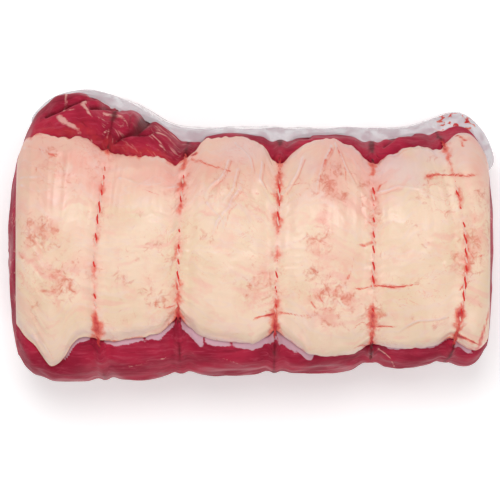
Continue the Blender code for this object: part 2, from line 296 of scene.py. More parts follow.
def cap_edges(rows):
    """First and last angle of the cap at each row, found by halving the stretch that holds it."""
    tree = trees["fat_cap"]
    edges = []
    inside = np.clip(rows, END_GAP, len(LOOPS) + 1 - END_GAP)

    def covered(panels, angle):
        x = float(along(np.array([panels]), np.array([angle]))[0])
        way = Vector((0, math.cos(angle), math.sin(angle)))
        return tree.ray_cast(Vector((x, AXIS_Y, AXIS_Z)), way, FAR)[0] is not None

    for panels in inside:
        pair = []
        for outside, within in ((0.0, math.pi / 2), (math.pi, math.pi / 2)):
            for _ in range(HALVINGS):
                middle = (outside + within) / 2
                if covered(panels, middle):
                    within = middle
                else:
                    outside = middle
            pair.append(within)
        edges.append(pair)
    return np.array(edges)


cap_rows = panel_rows(0.68 * MM)
cap_edge = blur(cap_edges(cap_rows), 2.5, 0)
crown_x = along(cap_rows, np.full(len(cap_rows), math.pi / 2))
print("rows along the cap:", len(cap_rows))

# %% Fray the edge
WAVE_STEPS = (9, 3, 1.2)  # slow waves, waves and fraying
EDGE_REACH = 55 * MM  # distance of the edge from the axis, which turns lengths on the skin into angles

# Places where the knife or the twine shaped the edge: along the joint, half length, and how far out.
BACK_NIPS = [
    (-79, 6, 2.0), (-96, 5, -1.5), (-8, 10, 1.5), (-26, 4, 3.0), (34, 8, 2.5), (47, 5, -1.5), (84, 9, 1.5),
]
FRONT_NIPS = [
    (-96, 6, 3.0), (-86, 5, -3.5), (-104, 6, -2.5), (-44, 7, 1.0), (2, 6, 1.5), (34, 8, 1.5), (18, 5, -1.5),
]


def ragged(heights, seeds):
    """Waves of three sizes along the edge, in metres."""
    waves = [wavy_line(len(cap_rows), steps, seed) for steps, seed in zip(WAVE_STEPS, seeds)]
    return np.array(heights) @ np.stack(waves) * MM


def nips(x, places):
    total = 0
    for middle, half, out in places:
        total = total + out * MM * np.exp(-(((x - middle * MM) / (half * MM)) ** 2))
    return total


wave_back = ragged((1.3, 1.3, 1.3), (1, 2, 3)) - nips(crown_x, BACK_NIPS)
wave_front = ragged((0.9, 0.7, 0.6), (4, 5, 6)) + nips(crown_x, FRONT_NIPS)
WEDGES = [1.0, 4.5, 4.5, 3.5, 3.5]  # how far each loop cuts into the front edge
WEDGE_HALF = 2.4 * MM
for middle, depth in zip(crowns[1:-1], WEDGES):
    wave_front = wave_front - depth * MM * np.exp(-np.abs(crown_x - middle) / WEDGE_HALF)
cap_edge[:, 0] += wave_back / EDGE_REACH
cap_edge[:, 1] += wave_front / EDGE_REACH
print("edge moved by up to, in mm:", round(float(np.abs(wave_front).max() / MM), 1))

# %% [markdown]
# ## A mesh from a grid
#
# Both the cap and the meat end up as one closed skin. Rows of points run along the joint and each row
# closes on itself, so the skin is a tube whose first and last rows are filled. The masks that steer
# the colours are stored on the points, as attributes that the materials read.

# %% Closed tube with named masks
def finished(mesh, masks):
    """The object of a mesh, once its masks are on it."""
    for mask, values in masks.items():
        layer = mesh.attributes.new(mask, "FLOAT", "POINT")
        layer.data.foreach_set("value", values.reshape(-1).astype(np.float32))
    mesh.shade_smooth()
    piece = bpy.data.objects.new(mesh.name, mesh)
    bpy.context.scene.collection.objects.link(piece)
    return piece


def tube_mesh(name, rows, masks):
    """A closed tube through rows of points, with a value of each mask at every point."""
    count, columns = rows.shape[:2]
    corner = np.arange(count * columns).reshape(count, columns)
    beside = np.roll(corner, -1, axis=1)
    quads = np.stack([corner[:-1], beside[:-1], beside[1:], corner[1:]], axis=-1).reshape(-1, 4)
    faces = quads.tolist() + [corner[0, ::-1].tolist(), corner[-1].tolist()]
    mesh = bpy.data.meshes.new(name)
    mesh.from_pydata(rows.reshape(-1, 3).tolist(), [], faces)
    print(name, "has", sum(len(face) - 2 for face in faces), "triangles")
    return finished(mesh, masks)


# %% [markdown]
# ## The groove that the twine presses
#
# Twine cuts into soft fat: a narrow slot just under the thread, a soft valley on either side, and
# little puckers that run away from it. Where the thread lies is known, so the valley is lifted or
# lowered until it meets the thread half way up.

# %% Press the loops into a grid of distances
SLOT = 0.25 * MM  # how much deeper it is just under the thread
SLOT_HALF = 1.15 * MM
NEAR = 3 * MM


def pressed(x, angle, reach, sink, valley):
    """The grid after the twine has been pressed in, and how near each place is to a thread."""
    near = np.zeros(x.shape)
    for number in range(len(LOOPS)):
        away = x - loop_x(number, angle)
        row = np.abs(away).argmin(axis=0)[None]
        wanted = np.take_along_axis(loop_reach(number, angle) + sink, row, axis=0)
        found = np.take_along_axis(reach, row, axis=0)
        reach = reach + (wanted - found) * np.exp(-((away / valley) ** 2))
        reach = reach - SLOT * np.exp(-((away / SLOT_HALF) ** 2))
        near = np.maximum(near, np.exp(-np.abs(away) / NEAR))
    return reach, near


print("slot under a thread, in mm:", 2 * SLOT_HALF / MM, "wide and", SLOT / MM, "painted_shade")

# %% [markdown]
# ## The fat cap
#
# The cap is thick at the crown and rolls down to a thin lip at its edges. Its skin has slow lumps, fine
# dimples, puckers beside the twine and a few long folds where the layers of fat slid over each other.

# %% Shape of the fat cap
CAP_COLUMNS = 200
LIP = 1.6 * MM
THIN_EDGE = 9 * MM  # stretch over which the cap thins out towards its edge
THIN_FAT = 1 * MM  # where a ray passes the solid's edge
CAP_MARGIN = 0.2 * MM  # rays stay this far inside the cuts
across_share = np.linspace(0, 1, CAP_COLUMNS)
panels, share = np.meshgrid(cap_rows, across_share, indexing="ij")
cap_angle = cap_edge[:, :1] + (cap_edge[:, 1:] - cap_edge[:, :1]) * share
cap_x = along(panels, cap_angle)
inner_x = np.clip(cap_x, LEFT_CUT + CAP_MARGIN, RIGHT_CUT - CAP_MARGIN)
cap_reach = skin_reach("fat_cap", inner_x, cap_angle)
meat_reach = skin_reach("meat", inner_x, cap_angle)
missed = np.isnan(cap_reach)
cap_reach[missed] = meat_reach[missed] + THIN_FAT
print("rays that missed the cap:", int(missed.sum()))
cap_reach = blur_both(cap_reach, 1.8, 2.5)
meat_reach = blur_both(meat_reach, 1.8, 2.5)

cap_shape = cap_x.shape
cap_reach, cap_near = pressed(cap_x, cap_angle, cap_reach, sink=0.45 * MM, valley=3.2 * MM)
cap_reach += relief_of(cap_shape, [(0.55, 12, 10, 11), (0.22, 4, 4, 12), (0.07, 1.3, 1.3, 13)])
puckers = bumps(cap_shape, 7, 1.6, 14) * np.clip(cap_near * 1.6, 0, 1)
wrinkle = 1 - np.abs(bumps(cap_shape, 9, 2.4, 15))
cap_reach += (0.45 * puckers + 0.16 * wrinkle) * MM
top = placed(cap_x, cap_angle, cap_reach)
top_x, top_y = top[..., 0], top[..., 1]
print("crown of the fat, in mm:", round(float(top[..., 2].max() / MM), 1))

# %% [markdown]
# ## Folds, stains and painted shadows on the fat
#
# The fat isn't one even sheet. Between the second and fifth loops its layers slid and left fans of
# folds. Blood from the meat has run along the twine and along a few creases. Each fold or streak is a
# line seen from above, in millimetres, and bends a little so that no stroke looks ruled. At the
# right-hand foot of each fold a painted shadow colours the fat pinkish red.

# %% Lines on the cap
warp_x = top_x + 0.9 * MM * bumps(cap_shape, 5, 5, 21)
warp_y = top_y + 0.9 * MM * bumps(cap_shape, 5, 5, 22)

FOLDS = [
    [(38, 42), (32, 29), (29, 18)], [(40, 43), (45, 33), (50, 24)], [(24, 36), (21, 27), (16, 19)],
    [(-8, 44), (-2, 37.5), (0.5, 30.5), (-1, 27)], [(-12, 34), (-16, 26), (-22, 18)],
    [(-7, 30), (-9, 22), (-14, 15)], [(-9, 14), (-14, 10), (-18, 5), (-20, -1)],
    [(-5, 21), (-10, 16), (-13, 9), (-15, 2)], [(-22, 14), (-17, 9), (-14, 4)],
    [(5, 34), (4, 26), (7, 20)], [(64, 38), (74, 41.5), (86, 42)], [(60, 19), (70, 22), (83, 21)],
    [(-110, 41.5), (-104, 39), (-95, 38)], [(-112, 26), (-103, 26.5), (-92, 20), (-82, 16)],
    [(-112, 22), (-105, 20), (-98, 20.5)], [(-64, 26), (-52, 23), (-42, 24)],
    [(-32, 22), (-42, 21), (-52, 25)], [(93, -41), (80, -43), (70, -48)],
    [(-30, -50), (-18, -52), (-5, -54)], [(-106, -50), (-100, -56), (-97, -62)],
]
fold = np.zeros(cap_shape)
foot_dip_and_shadow = np.zeros(cap_shape)
for line in FOLDS:
    # The foot line is a dip and also a painted shadow: its colour darkens the fat beside each fold.
    foot = [(x + 1.1, y - 0.5) for x, y in line]  # the dip at the right-hand foot of a fold
    fold = np.maximum(fold, stroke(warp_x, warp_y, line, 0.7, 0.8))
    foot_dip_and_shadow = np.maximum(foot_dip_and_shadow, stroke(warp_x, warp_y, foot, 0.55, 0.8))


print("folds:", len(FOLDS))


# %% Pleats that fan out
def pleats(focus, half_turn, reach, seed):
    """Fine wrinkles that spread out from a point on the cap, pointing to the front."""
    right, back = warp_x - focus[0] * MM, warp_y - focus[1] * MM
    away = np.hypot(right, back)
    turn = np.arctan2(right, -back)
    table = wavy_line(400, 2.2, seed)
    wave = np.interp(turn, np.linspace(-math.pi, math.pi, len(table)), table)
    fade = 1 - ease(np.abs(turn), half_turn * 0.4, half_turn)
    return wave * fade * ease(away, 1 * MM, 9 * MM) * (1 - ease(away, reach * 0.35 * MM, reach * MM))


pleat = pleats((38, 50), 0.8, 44, 23) + pleats((6, 52), 0.9, 52, 24)
pleat = pleat + 0.6 * pleats((75, 60), 0.9, 34, 25)
cap_reach += (0.6 * fold - 0.45 * foot_dip_and_shadow + 0.45 * pleat) * MM
print("folds and pleats stand up to, in mm:", round(float((0.6 * fold + 0.45 * pleat).max()), 1))

# %% Streaks of blood
# A streak of blood: its line, half its width and its strength.
STREAKS = [
    ([(58, -26), (66, -26), (80, -24.5)], 0.7, 0.9), ([(58, -26), (52, -27), (47, -27)], 0.7, 0.7),
    ([(58, -45), (63, -45), (70, -45.5)], 0.6, 0.8), ([(58, -45), (53, -43), (49, -46)], 0.6, 0.6),
    ([(84, 28), (97, 27), (109, 28)], 0.8, 0.8), ([(-30, 36), (-22, 33), (-11, 29)], 0.6, 0.7),
    ([(11, -39), (4, -40), (-1, -42)], 0.7, 0.8), ([(12, -39), (20, -40), (28, -39.5)], 0.6, 0.6),
    ([(-36, -35), (-40, -36), (-46, -35)], 0.6, 0.6),
    ([(58, -56), (67, -60), (78, -59), (88, -57), (96, -52)], 0.7, 0.9),
    ([(58, -56), (52, -55), (47, -57)], 0.7, 0.7), ([(-6, 19.5), (7, 18.6), (30, 26)], 0.5, 0.35),
    ([(-108, 42), (-103, 40), (-98, 39)], 0.5, 0.4), ([(98, -50), (104, -52), (111, -55)], 1.1, 1.0),
    ([(100, -28), (104, -24), (108, -22)], 0.8, 0.5), ([(107, -60), (112, -50), (114, -36)], 1.5, 0.7),
    ([(103, -8), (107, -12), (112, -10)], 1.2, 0.5), ([(-29.5, 38.2), (-26.5, 38.8)], 1.0, 1.2),
    ([(99.5, 48.5), (103, 44.5), (107, 47)], 0.9, 0.75), ([(102, 45), (101.5, 41)], 0.8, 0.65),
    ([(75, 43), (79, 43.2), (83, 42.5)], 1.0, 0.4), ([(60, 20), (62, 23), (65, 25)], 0.8, 0.5),
    ([(-98, 37.8), (-93, 36.4)], 0.9, 0.6), ([(-8, 24), (-4, 26.5), (0, 27.5)], 0.6, 0.35),
    ([(-38, 34.5), (-43, 35)], 0.8, 0.4), ([(58, -4), (54, -6), (50, -5)], 1.6, 0.35),
    ([(38, 41), (33, 30), (31, 18)], 1.1, 0.38), ([(41, 41), (45, 31), (47, 20)], 1.0, 0.34),
    ([(37, 34), (38, 24), (36, 14)], 0.9, 0.3), ([(28, -33), (30, -36), (29, -40)], 1.0, 0.4),
    ([(31, -28), (34, -33), (38, -35)], 0.9, 0.32), ([(45, -22), (48, -18), (49, -13)], 1.0, 0.32),
    ([(-104, 24), (-96, 23), (-88, 20)], 0.6, 0.25), ([(-46, 19), (-52, 21), (-60, 19)], 0.6, 0.28),
    ([(59, 2), (56, 5), (50, 6)], 1.2, 0.3),
]
HALO = 3.2  # the pink round a streak is this much wider than it
streak = np.zeros(cap_shape)
for line, width, strength in STREAKS:
    streak = np.maximum(streak, stroke(warp_x, warp_y, line, 0.62 * width, strength))
    streak = np.maximum(streak, stroke(warp_x, warp_y, line, HALO * width, 0.28 * strength))
cap_reach -= 0.2 * streak * MM
print("streaks:", len(STREAKS))

# %% [markdown]
# ## Patches on the fat
#
# A patch is a soft ellipse. The flush is pinker fat where the muscle shows through it. The mottle is
# where blood has dried in spots, and the pale patches are a painted sheen that whitens the fat.

# %% Patches on the cap
def patch(x, y, middle, half, strength):
    """A soft ellipse seen from above."""
    gap = np.hypot((x - middle[0] * MM) / (half[0] * MM), (y - middle[1] * MM) / (half[1] * MM))
    return strength * (1 - ease(gap, 0.35, 1.15))


def patches(x, y, places):
    most = np.zeros(x.shape)
    for middle, half, strength in places:
        most = np.maximum(most, patch(x, y, middle, half, strength))
    return most


# A patch: its middle, its half lengths and its strength.
MOTTLE = [
    ((-101, -3), (15, 12), 0.9), ((-93, -24), (18, 15), 1.0), ((-107, -14), (8, 22), 0.8),
    ((39, 24), (13, 15), 0.75), ((33, -4), (9, 18), 0.9), ((38, -30), (16, 20), 1.0),
    ((102, -10), (13, 15), 1.0), ((110, 8), (8, 30), 0.7), ((-44, -30), (13, 14), 0.7),
    ((5, -26), (13, 16), 0.75), ((-14, 22), (13, 16), 0.6), ((-92, 32), (18, 10), 0.7),
    ((56, 14), (8, 20), 0.8), ((60, -34), (8, 18), 0.7), ((-36, 12), (8, 30), 0.5),
    ((-74, 30), (8, 20), 0.6),
]
# Patches of painted sheen: the fat is whitened there.
SHEEN_PATCHES = [
    ((72, 29), (16, 9), 0.9), ((88, 37), (14, 6), 0.6), ((26, 33), (8, 7), 0.4),
    ((-5, 40), (15, 9), 0.6), ((101, 38), (9, 10), 0.4),
]
mottle = patches(warp_x, warp_y, MOTTLE)
painted_sheen = patches(warp_x, warp_y, SHEEN_PATCHES)
print("share of the cap that is mottled:", round(float((mottle > 0.3).mean()), 2))

# %% The flush
# Pinker towards the back and the twine, round the fourth loop and at the right-hand end, and paler
# from the second loop on and once more past the fourth.
flush = 0.85 * ease(top_y, -4 * MM, 44 * MM) + 0.5 * cap_near**1.5
flush += 0.35 * ease(np.abs(top_x - 52 * MM), 30 * MM, 10 * MM) * ease(top_y, -60 * MM, 10 * MM)
flush += 0.2 * ease(top_x, 96 * MM, 112 * MM) - 0.35 * ease(top_x, 62 * MM, 80 * MM)
flush -= 0.2 * ease(top_x, -32 * MM, -22 * MM)
flush = np.clip(flush + 0.3 * bumps(cap_shape, 9, 9, 31), 0, 1)
print("mean flush:", round(float(flush.mean()), 2))

# %% Silverskin and blood at the edges and in the grooves
edge_span = cap_edge[:, 1:] - cap_edge[:, :1]
from_back = share * edge_span * EDGE_REACH
from_front = (1 - share) * edge_span * EDGE_REACH
from_edge = np.minimum(from_back, from_front)
rim = np.exp(-from_edge / (2.2 * MM))
silver = np.exp(-from_front / (4.5 * MM)) * ease(bumps(cap_shape, 14, 5, 32), -0.35, 0.4)
veiled = ease(top_x, 14 * MM, 24 * MM) * ease(bumps(cap_shape, 8, 5, 35), -0.3, 0.5)
silver = np.maximum(silver, 0.85 * np.exp(-from_back / (6 * MM)) * veiled)

# Blood: in streaks, along the grooves, in the notches at the loops and here and there at the edge.
low_groove = ease(np.maximum(-top_y - 30 * MM, top_y - 30 * MM), 0, 14 * MM)
soaked = np.minimum(cap_near**1.4 * (0.28 + 0.28 * low_groove + 0.32 * bumps(cap_shape, 5, 5, 33)), 0.58)
wedge = cap_near * np.exp(-from_front / (4.5 * MM)) * (0.5 + 0.5 * ease(top_x, -60 * MM, -45 * MM))
wedge += cap_near * np.exp(-from_back / (3 * MM))
blood = np.maximum(np.maximum(streak * 0.85, soaked), 1.15 * wedge)
blood = np.maximum(blood, 0.6 * rim * ease(bumps(cap_shape, 6, 6, 34), -0.1, 0.6))
blood = np.clip(blood, 0, 1)
print("share of the cap with blood on it:", round(float((blood > 0.2).mean()), 2))

# %% Write the cap's mesh
SUNK = 0.3 * MM  # the cap reaches this far into the meat, so that no gap shows
gap_to_end = np.minimum(cap_x - LEFT_CUT, RIGHT_CUT - cap_x)
lip_share = np.clip(np.minimum(from_edge, gap_to_end * 1.2 + 0.1 * MM) / LIP, 0, 1)
lip = np.sqrt(1 - (1 - lip_share) ** 2)
thin = 1 - 0.45 * (1 - ease(from_edge, 0, THIN_EDGE)) * (1 - cap_near)
lip = lip * thin
floor_reach = meat_reach - SUNK
cap_reach = floor_reach + (cap_reach - floor_reach) * lip
cap_top = placed(cap_x, cap_angle, cap_reach)
UNDER_COLUMNS = 12  # the hidden underside needs only a few
under = np.linspace(CAP_COLUMNS - 1, 0, UNDER_COLUMNS + 2)[1:-1].round().astype(int)
cap_under = placed(cap_x, cap_angle, floor_reach)[:, under]
cap_points = np.concatenate([cap_top, cap_under], axis=1)


def with_under(mask):
    return np.concatenate([mask, mask[:, under]], axis=1)


# The fold mask is each fold's ridge, and below 0 the painted shadow at its foot.
cap_masks = {
    "flush": flush, "blood": blood, "mottle": mottle, "painted_sheen": painted_sheen, "fold": fold - 0.7 * foot_dip_and_shadow,
    "silver": silver, "wrinkle": wrinkle,
}
fat = tube_mesh("fat", cap_points, {name: with_under(mask) for name, mask in cap_masks.items()})
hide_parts("fat_cap")
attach(fat, "root")

# %% [markdown]
# ## The muscle
#
# The muscle carries the whole joint. On the bare back and front its skin bulges between the loops and
# is cut deep where the twine crosses it. The shoulder at the back is several muscles folded together,
# with dark gaps between them and pale seams of fat. Columns are packed closer where it isn't covered.

# %% Columns round the muscle
def crowded(stops, counts):
    """Angles in radians, with this many between each two stops given in degrees."""
    spans = zip(stops, stops[1:], counts)
    parts = [np.linspace(start, stop, count, endpoint=False) for start, stop, count in spans]
    return np.radians(np.concatenate(parts))


meat_angles = crowded([-150, -50, -15, 75, 120, 200, 210], [34, 26, 96, 18, 84, 6])
meat_rows = panel_rows(0.82 * MM)
MEAT_MARGIN = 0.3 * MM
panels, angle = np.meshgrid(meat_rows, meat_angles, indexing="ij")
meat_x = along(panels, angle)
inner_x = np.clip(meat_x, LEFT_CUT + MEAT_MARGIN, RIGHT_CUT - MEAT_MARGIN)
reach = skin_reach("meat", inner_x, angle)
print("rays that missed the meat:", int(np.isnan(reach).sum()), "of", reach.size)

# %% Where the muscle is bare, and how the twine lies on it
OVERLAP = 40  # columns that the blur runs on past the place where they meet
wide = np.concatenate([reach[:, -OVERLAP:], reach, reach[:, :OVERLAP]], axis=1)
smooth_reach = blur_both(wide, 1.4, 2.0)[:, OVERLAP:-OVERLAP]
meat_shape = meat_x.shape
edge_rows = np.stack([np.interp(meat_rows, cap_rows, cap_edge[:, side]) for side in (0, 1)], axis=1)
past_back = (edge_rows[:, :1] - angle) * EDGE_REACH
past_front = (angle - edge_rows[:, 1:]) * EDGE_REACH
past_cap = np.where(wrapped(angle) < -math.pi / 2, past_front, np.maximum(past_back, past_front))
UNDER_CLEAR = 5 * MM
past_cap = np.where(angle < 0, np.maximum(past_cap, UNDER_CLEAR), past_cap)
open_air = ease(past_cap, -1 * MM, 2 * MM)

# On the upper side the meat closes over the twine, most of all at the back.
hidden = (1.1 + 0.7 * ease(np.cos(angle), 0.0, 0.5)) * MM * ease(np.sin(angle), -0.35, 0.15)
hidden = hidden * ease(past_cap, 0, UNDER_CLEAR)
bare, meat_near = pressed(meat_x, angle, smooth_reach, sink=hidden, valley=2.6 * MM)
underside = ease(-np.sin(angle), 0.25, 0.7)
meat_reach_all = smooth_reach + (bare - smooth_reach) * open_air * (1 - 0.4 * underside)
seen = placed(meat_x, angle, meat_reach_all)
seen_x, seen_y = seen[..., 0], seen[..., 1]
print("share of the muscle that is bare:", round(float((open_air > 0.5).mean()), 2))

# %% [markdown]
# ## Creases, seams and grain of the muscle
#
# A crease is a line where two muscles meet: the skin dips there and the light dies, and that shade is
# painted into the colour, nearly black. A seam is a thin sheet of fat or gristle that comes to the
# surface between two bundles. Finer grain runs along the joint, because that is the way the muscle pulls.

# %% Lines on the muscle
bent_x = seen_x + 1.0 * MM * bumps(meat_shape, 5, 5, 41)
bent_y = seen_y + 1.0 * MM * bumps(meat_shape, 5, 5, 42)
upper = ease(np.sin(angle), -0.1, 0.15)

# Creases and seams: the line, half its width and its strength.
CREASES = [
    ([(-100, 57), (-92, 60.5), (-84, 63), (-76, 65)], 1.3, 1.1),
    ([(-79, 67), (-73, 65), (-67, 62)], 1.2, 0.9), ([(-78, 60.5), (-72, 61), (-60, 60)], 1.4, 1.0),
    ([(-52, 55), (-56, 51), (-60, 48)], 2.6, 1.3), ([(-59, 49), (-63, 46), (-68, 40)], 1.5, 0.9),
    ([(-57, 48.5), (-52, 48.5), (-47, 50)], 1.0, 0.8), ([(-60, 56), (-60, 49)], 0.8, 0.5),
    ([(-34, 48), (-28, 46), (-25, 45)], 1.6, 1.0), ([(-84, 54), (-80, 49), (-76, 47)], 0.8, 0.45),
    ([(-105, 50), (-97, 51), (-92, 49)], 0.9, 0.4), ([(28, 47), (22, 46), (17, 42)], 1.2, 0.7),
    ([(64, 42), (70, 46), (78, 47)], 1.2, 0.6),
]
SEAMS = [
    ([(-92.5, 68), (-91, 65.5), (-90.8, 61), (-91.4, 59.2), (-89.5, 58)], 0.75, 1.0),
    ([(-93, 58.6), (-89.5, 58), (-84, 59)], 0.5, 0.6), ([(-80.8, 69), (-80.4, 66.8)], 0.5, 0.8),
    ([(-81.8, 62.5), (-82.3, 60.6), (-80, 58.6), (-78.6, 55.4), (-77.2, 53.6)], 1.0, 1.0),
    ([(-71, 56.4), (-67.5, 56.2), (-64, 55.4), (-62, 53)], 1.0, 0.85),
    ([(-62, 53), (-60, 50)], 0.45, 0.6),
    ([(-93.2, 54.6), (-90.3, 51.5), (-87, 49.5), (-84, 47)], 1.5, 1.0),
    ([(-76.2, 53.6), (-72.8, 52.8), (-69.4, 50.5)], 0.35, 0.8),
    ([(-46.4, 48.2), (-43, 47), (-39.6, 44.4)], 0.4, 0.8), ([(-42.4, 50.5), (-39.6, 48.8)], 0.35, 0.7),
    ([(-47.5, 42), (-45.2, 39.8)], 0.35, 0.7), ([(-45.8, 43.4), (-41.2, 39.2)], 0.4, 0.8),
    ([(-72, 45.4), (-68.8, 46.8)], 0.45, 1.0), ([(-80, 44), (-77.4, 41.6)], 0.45, 0.7),
    ([(-46.5, -60.5), (-43, -59.8), (-40, -57.4)], 0.3, 0.8),
    ([(-59.5, -63.8), (-54, -63.3), (-50.5, -61)], 0.3, 0.55),
    ([(-17, -58.8), (-8, -62), (2, -66)], 0.3, 0.5), ([(30, -64), (38, -67), (46, -64)], 0.3, 0.4),
    ([(61, -56.5), (66, -61), (70, -65)], 0.35, 0.9), ([(-96, -60), (-93, -63.5)], 0.4, 0.4),
]
# Patches where pale threads slant across the grain.
FIBRES = [((-46, 45), (18, 11), 1.0), ((-66, 46), (14, 8), 0.6), ((-62, 64), (12, 6), 0.5)]
# Silverskin hangs from under the cap's front edge: along the joint, half length, how far it hangs.
SILVER = [
    (-85, 8, 2.6), (-62, 12, 2.4), (-45, 9, 3.6), (-29, 7, 5.5), (-17, 8, 3.0), (-2, 9, 3.4), (7, 6, 5),
    (17, 6, 7.5), (25, 6, 4.5), (42, 8, 1.6), (72, 10, 2.2), (86, 13, 2.4), (102, 6, 3.2),
]
print("creases:", len(CREASES), "and seams:", len(SEAMS))

# %% Paint them
# The creases get painted shade: their colour is darkened where the skin dips.
dark = np.zeros(meat_shape)
for line, width, strength in CREASES:
    dark = np.maximum(dark, upper * stroke(bent_x, bent_y, line, width, strength))
seam = np.zeros(meat_shape)
for line, width, strength in SEAMS:
    seam = np.maximum(seam, upper * stroke(bent_x, bent_y, line, width, strength))
hang = past_front + 0.8 * MM * bumps(meat_shape, 3, 3, 48)
silver_skin = np.zeros(meat_shape)
for middle, half, length in SILVER:
    window = 1 - ease(np.abs(seen_x - middle * MM), 0.5 * half * MM, half * MM)
    silver_skin = np.maximum(silver_skin, window * (1 - ease(hang, 0.4 * length * MM, length * MM)))
silver_skin = silver_skin * (past_front > -2 * MM) * (angle > math.pi / 2)
fibres = upper * patches(bent_x, bent_y, FIBRES)
print("share in a crease:", round(float((dark > 0.3).mean()), 3))

# %% Relief of the muscle
between = 1 - np.abs(2 * (panels % 1) - 1) ** 2.5
bulge = open_air * (1 - underside)
relief = 0.9 * MM * between * bulge
relief += relief_of(meat_shape, [(0.9, 10, 6, 43), (0.35, 5, 2.2, 44), (0.10, 2.4, 1.0, 45)]) * bulge
shoulder = ease(seen_x, -22 * MM, -45 * MM) * ease(seen_y, 34 * MM, 44 * MM)
relief += relief_of(meat_shape, [(1.2, 6, 5, 46)]) * shoulder
swollen = np.exp(-(((seen_x + 75 * MM) / (17 * MM)) ** 2)) * ease(np.sin(angle), 0.0, 0.25)
relief += 1.7 * MM * swollen * open_air * ease(np.cos(angle), 0.0, 0.3)
relief -= 2.8 * MM * dark
relief += 0.35 * MM * seam
meat_reach_all = meat_reach_all + relief
print("relief, in mm:", np.round([relief.min() / MM, relief.max() / MM], 1))

# %% Colour masks of the muscle
groove = meat_near * open_air
tint = np.exp(-np.maximum(past_back, 0) / (2.4 * MM)) * ease(seen_x, 40 * MM, -30 * MM)
band = 0.85 * np.exp(-(((past_back - 1 * MM) / (3 * MM)) ** 2))
tint = np.maximum(tint, np.exp(-(((seen_x + 50 * MM) / (17 * MM)) ** 2)) * band)
tint = tint * open_air * (past_back > -1 * MM)
# Painted shade in the twine's grooves on the bare muscle, blotchy and nearly black, joined with the
# creases' painted shade.
groove_shade = np.clip(groove**1.6 * (0.75 + 0.5 * bumps(meat_shape, 3, 5, 47)), 0, 1)
painted_shade = np.clip(np.maximum(dark, groove_shade), 0, 1)
print("share that is nearly black:", round(float((painted_shade > 0.6).mean()), 3))

# %% [markdown]
# ## The cut ends
#
# Each end is a slice across the muscle, swollen a little past the twine. Rings that shrink to the
# middle close it. The cut shows marbling: thin pale veins, which wander between the muscle bundles.

# %% Rings that close an end
END_RINGS = 46
END_FULLNESS = 0.93  # share of the solid's swelling that the rings take up, before their bumps
meat_low, meat_high = (np.array(corner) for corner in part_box("meat"))
LEFT_BULGE, RIGHT_BULGE = LEFT_CUT - meat_low[0], meat_high[0] - RIGHT_CUT


def end_rings(outline, bulge, seed):
    """Rings from just inside an end's outline to its middle, bulging out by this much."""
    middle = outline.mean(axis=0)
    size = (1 - (np.arange(1, END_RINGS + 1) / (END_RINGS + 1)) ** 1.15)[:, None, None]
    rings = middle + (outline - middle) * size
    swell = bumps(rings.shape[:2], 4, 9, seed) * (1 - size[..., 0] ** 4)
    rings[..., 0] += bulge * (1 - size[..., 0] ** 3) + 0.6 * MM * swell
    return rings


side_points = placed(meat_x, angle, meat_reach_all)
left_rings = end_rings(side_points[0], -LEFT_BULGE * END_FULLNESS, 51)[::-1]
right_rings = end_rings(side_points[-1], RIGHT_BULGE * END_FULLNESS, 52)
meat_points = np.concatenate([left_rings, side_points, right_rings])
meat_points[..., 2] = np.maximum(meat_points[..., 2], 0)


def with_ends(mask, fill=0.0):
    ring = np.full((END_RINGS, mask.shape[1]), fill)
    return np.concatenate([ring, mask, ring])


meat_masks = {
    "painted_shade": with_ends(painted_shade), "seam": with_ends(seam), "silver": with_ends(silver_skin),
    "tint": with_ends(tint), "cut_end": with_ends(np.zeros(meat_shape), 1.0), "fibres": with_ends(fibres),
}
muscle = tube_mesh("muscle", meat_points, meat_masks)
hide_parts("meat")
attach(muscle, "root")

# %% [markdown]
# ## Butcher's twine
#
# The twine is two cotton threads twisted together, one white and one red, so that the red shows as
# short slanting dashes. A striped tube would look flat, so each thread is its own tube that winds
# round the loop's line. A small knot with two cut tails sits low on the front of each loop.

# %% The line of a loop, and threads that wind round it
THREAD = 0.45 * MM
THREAD_OFFSET = 0.85 * THREAD  # of each thread from the loop's line
TWIST_PITCH = 7.2 * MM
THREAD_STEP = 0.55 * MM
THREAD_SIDES = 7
LOOP_SUNK = 0.35 * MM


def loop_points(number):
    """Evenly spaced points along a loop."""
    turn = np.radians(np.arange(0, 360, 0.5))
    path = placed(loop_x(number, turn), turn, loop_reach(number, turn) - LOOP_SUNK)
    closed = np.concatenate([path, path[:1]])
    length = np.append(0, np.cumsum(np.linalg.norm(np.diff(closed, axis=0), axis=1)))
    count = round(length[-1] / THREAD_STEP)
    even = np.arange(count) * length[-1] / count
    return np.stack([np.interp(even, length, closed[:, k]) for k in range(3)], axis=1), length[-1]


def unit(vectors):
    return vectors / np.linalg.norm(vectors, axis=-1, keepdims=True)


def thread_rows(path, closed, twists, phase):
    """Rings of points of one thread that winds round a path this many times."""
    if closed:
        forward = unit(np.roll(path, -1, axis=0) - np.roll(path, 1, axis=0))
        guide = (1.0, 0.0, 0.0)
    else:
        forward = unit(np.gradient(path, axis=0))
        guide = (0.03, 1.0, 0.02)
    side = unit(np.cross(forward, guide))
    lift = np.cross(side, forward)
    share = np.arange(len(path)) / len(path)
    wind = (2 * math.pi * twists * share + phase)[:, None]
    middle = path + THREAD_OFFSET * (np.cos(wind) * side + np.sin(wind) * lift)
    spokes = (np.arange(THREAD_SIDES) * 2 * math.pi / THREAD_SIDES)[None, :, None]
    rows = middle[:, None] + THREAD * (np.cos(spokes) * side[:, None] + np.sin(spokes) * lift[:, None])
    rows[..., 2] = np.maximum(rows[..., 2], 0)
    return rows


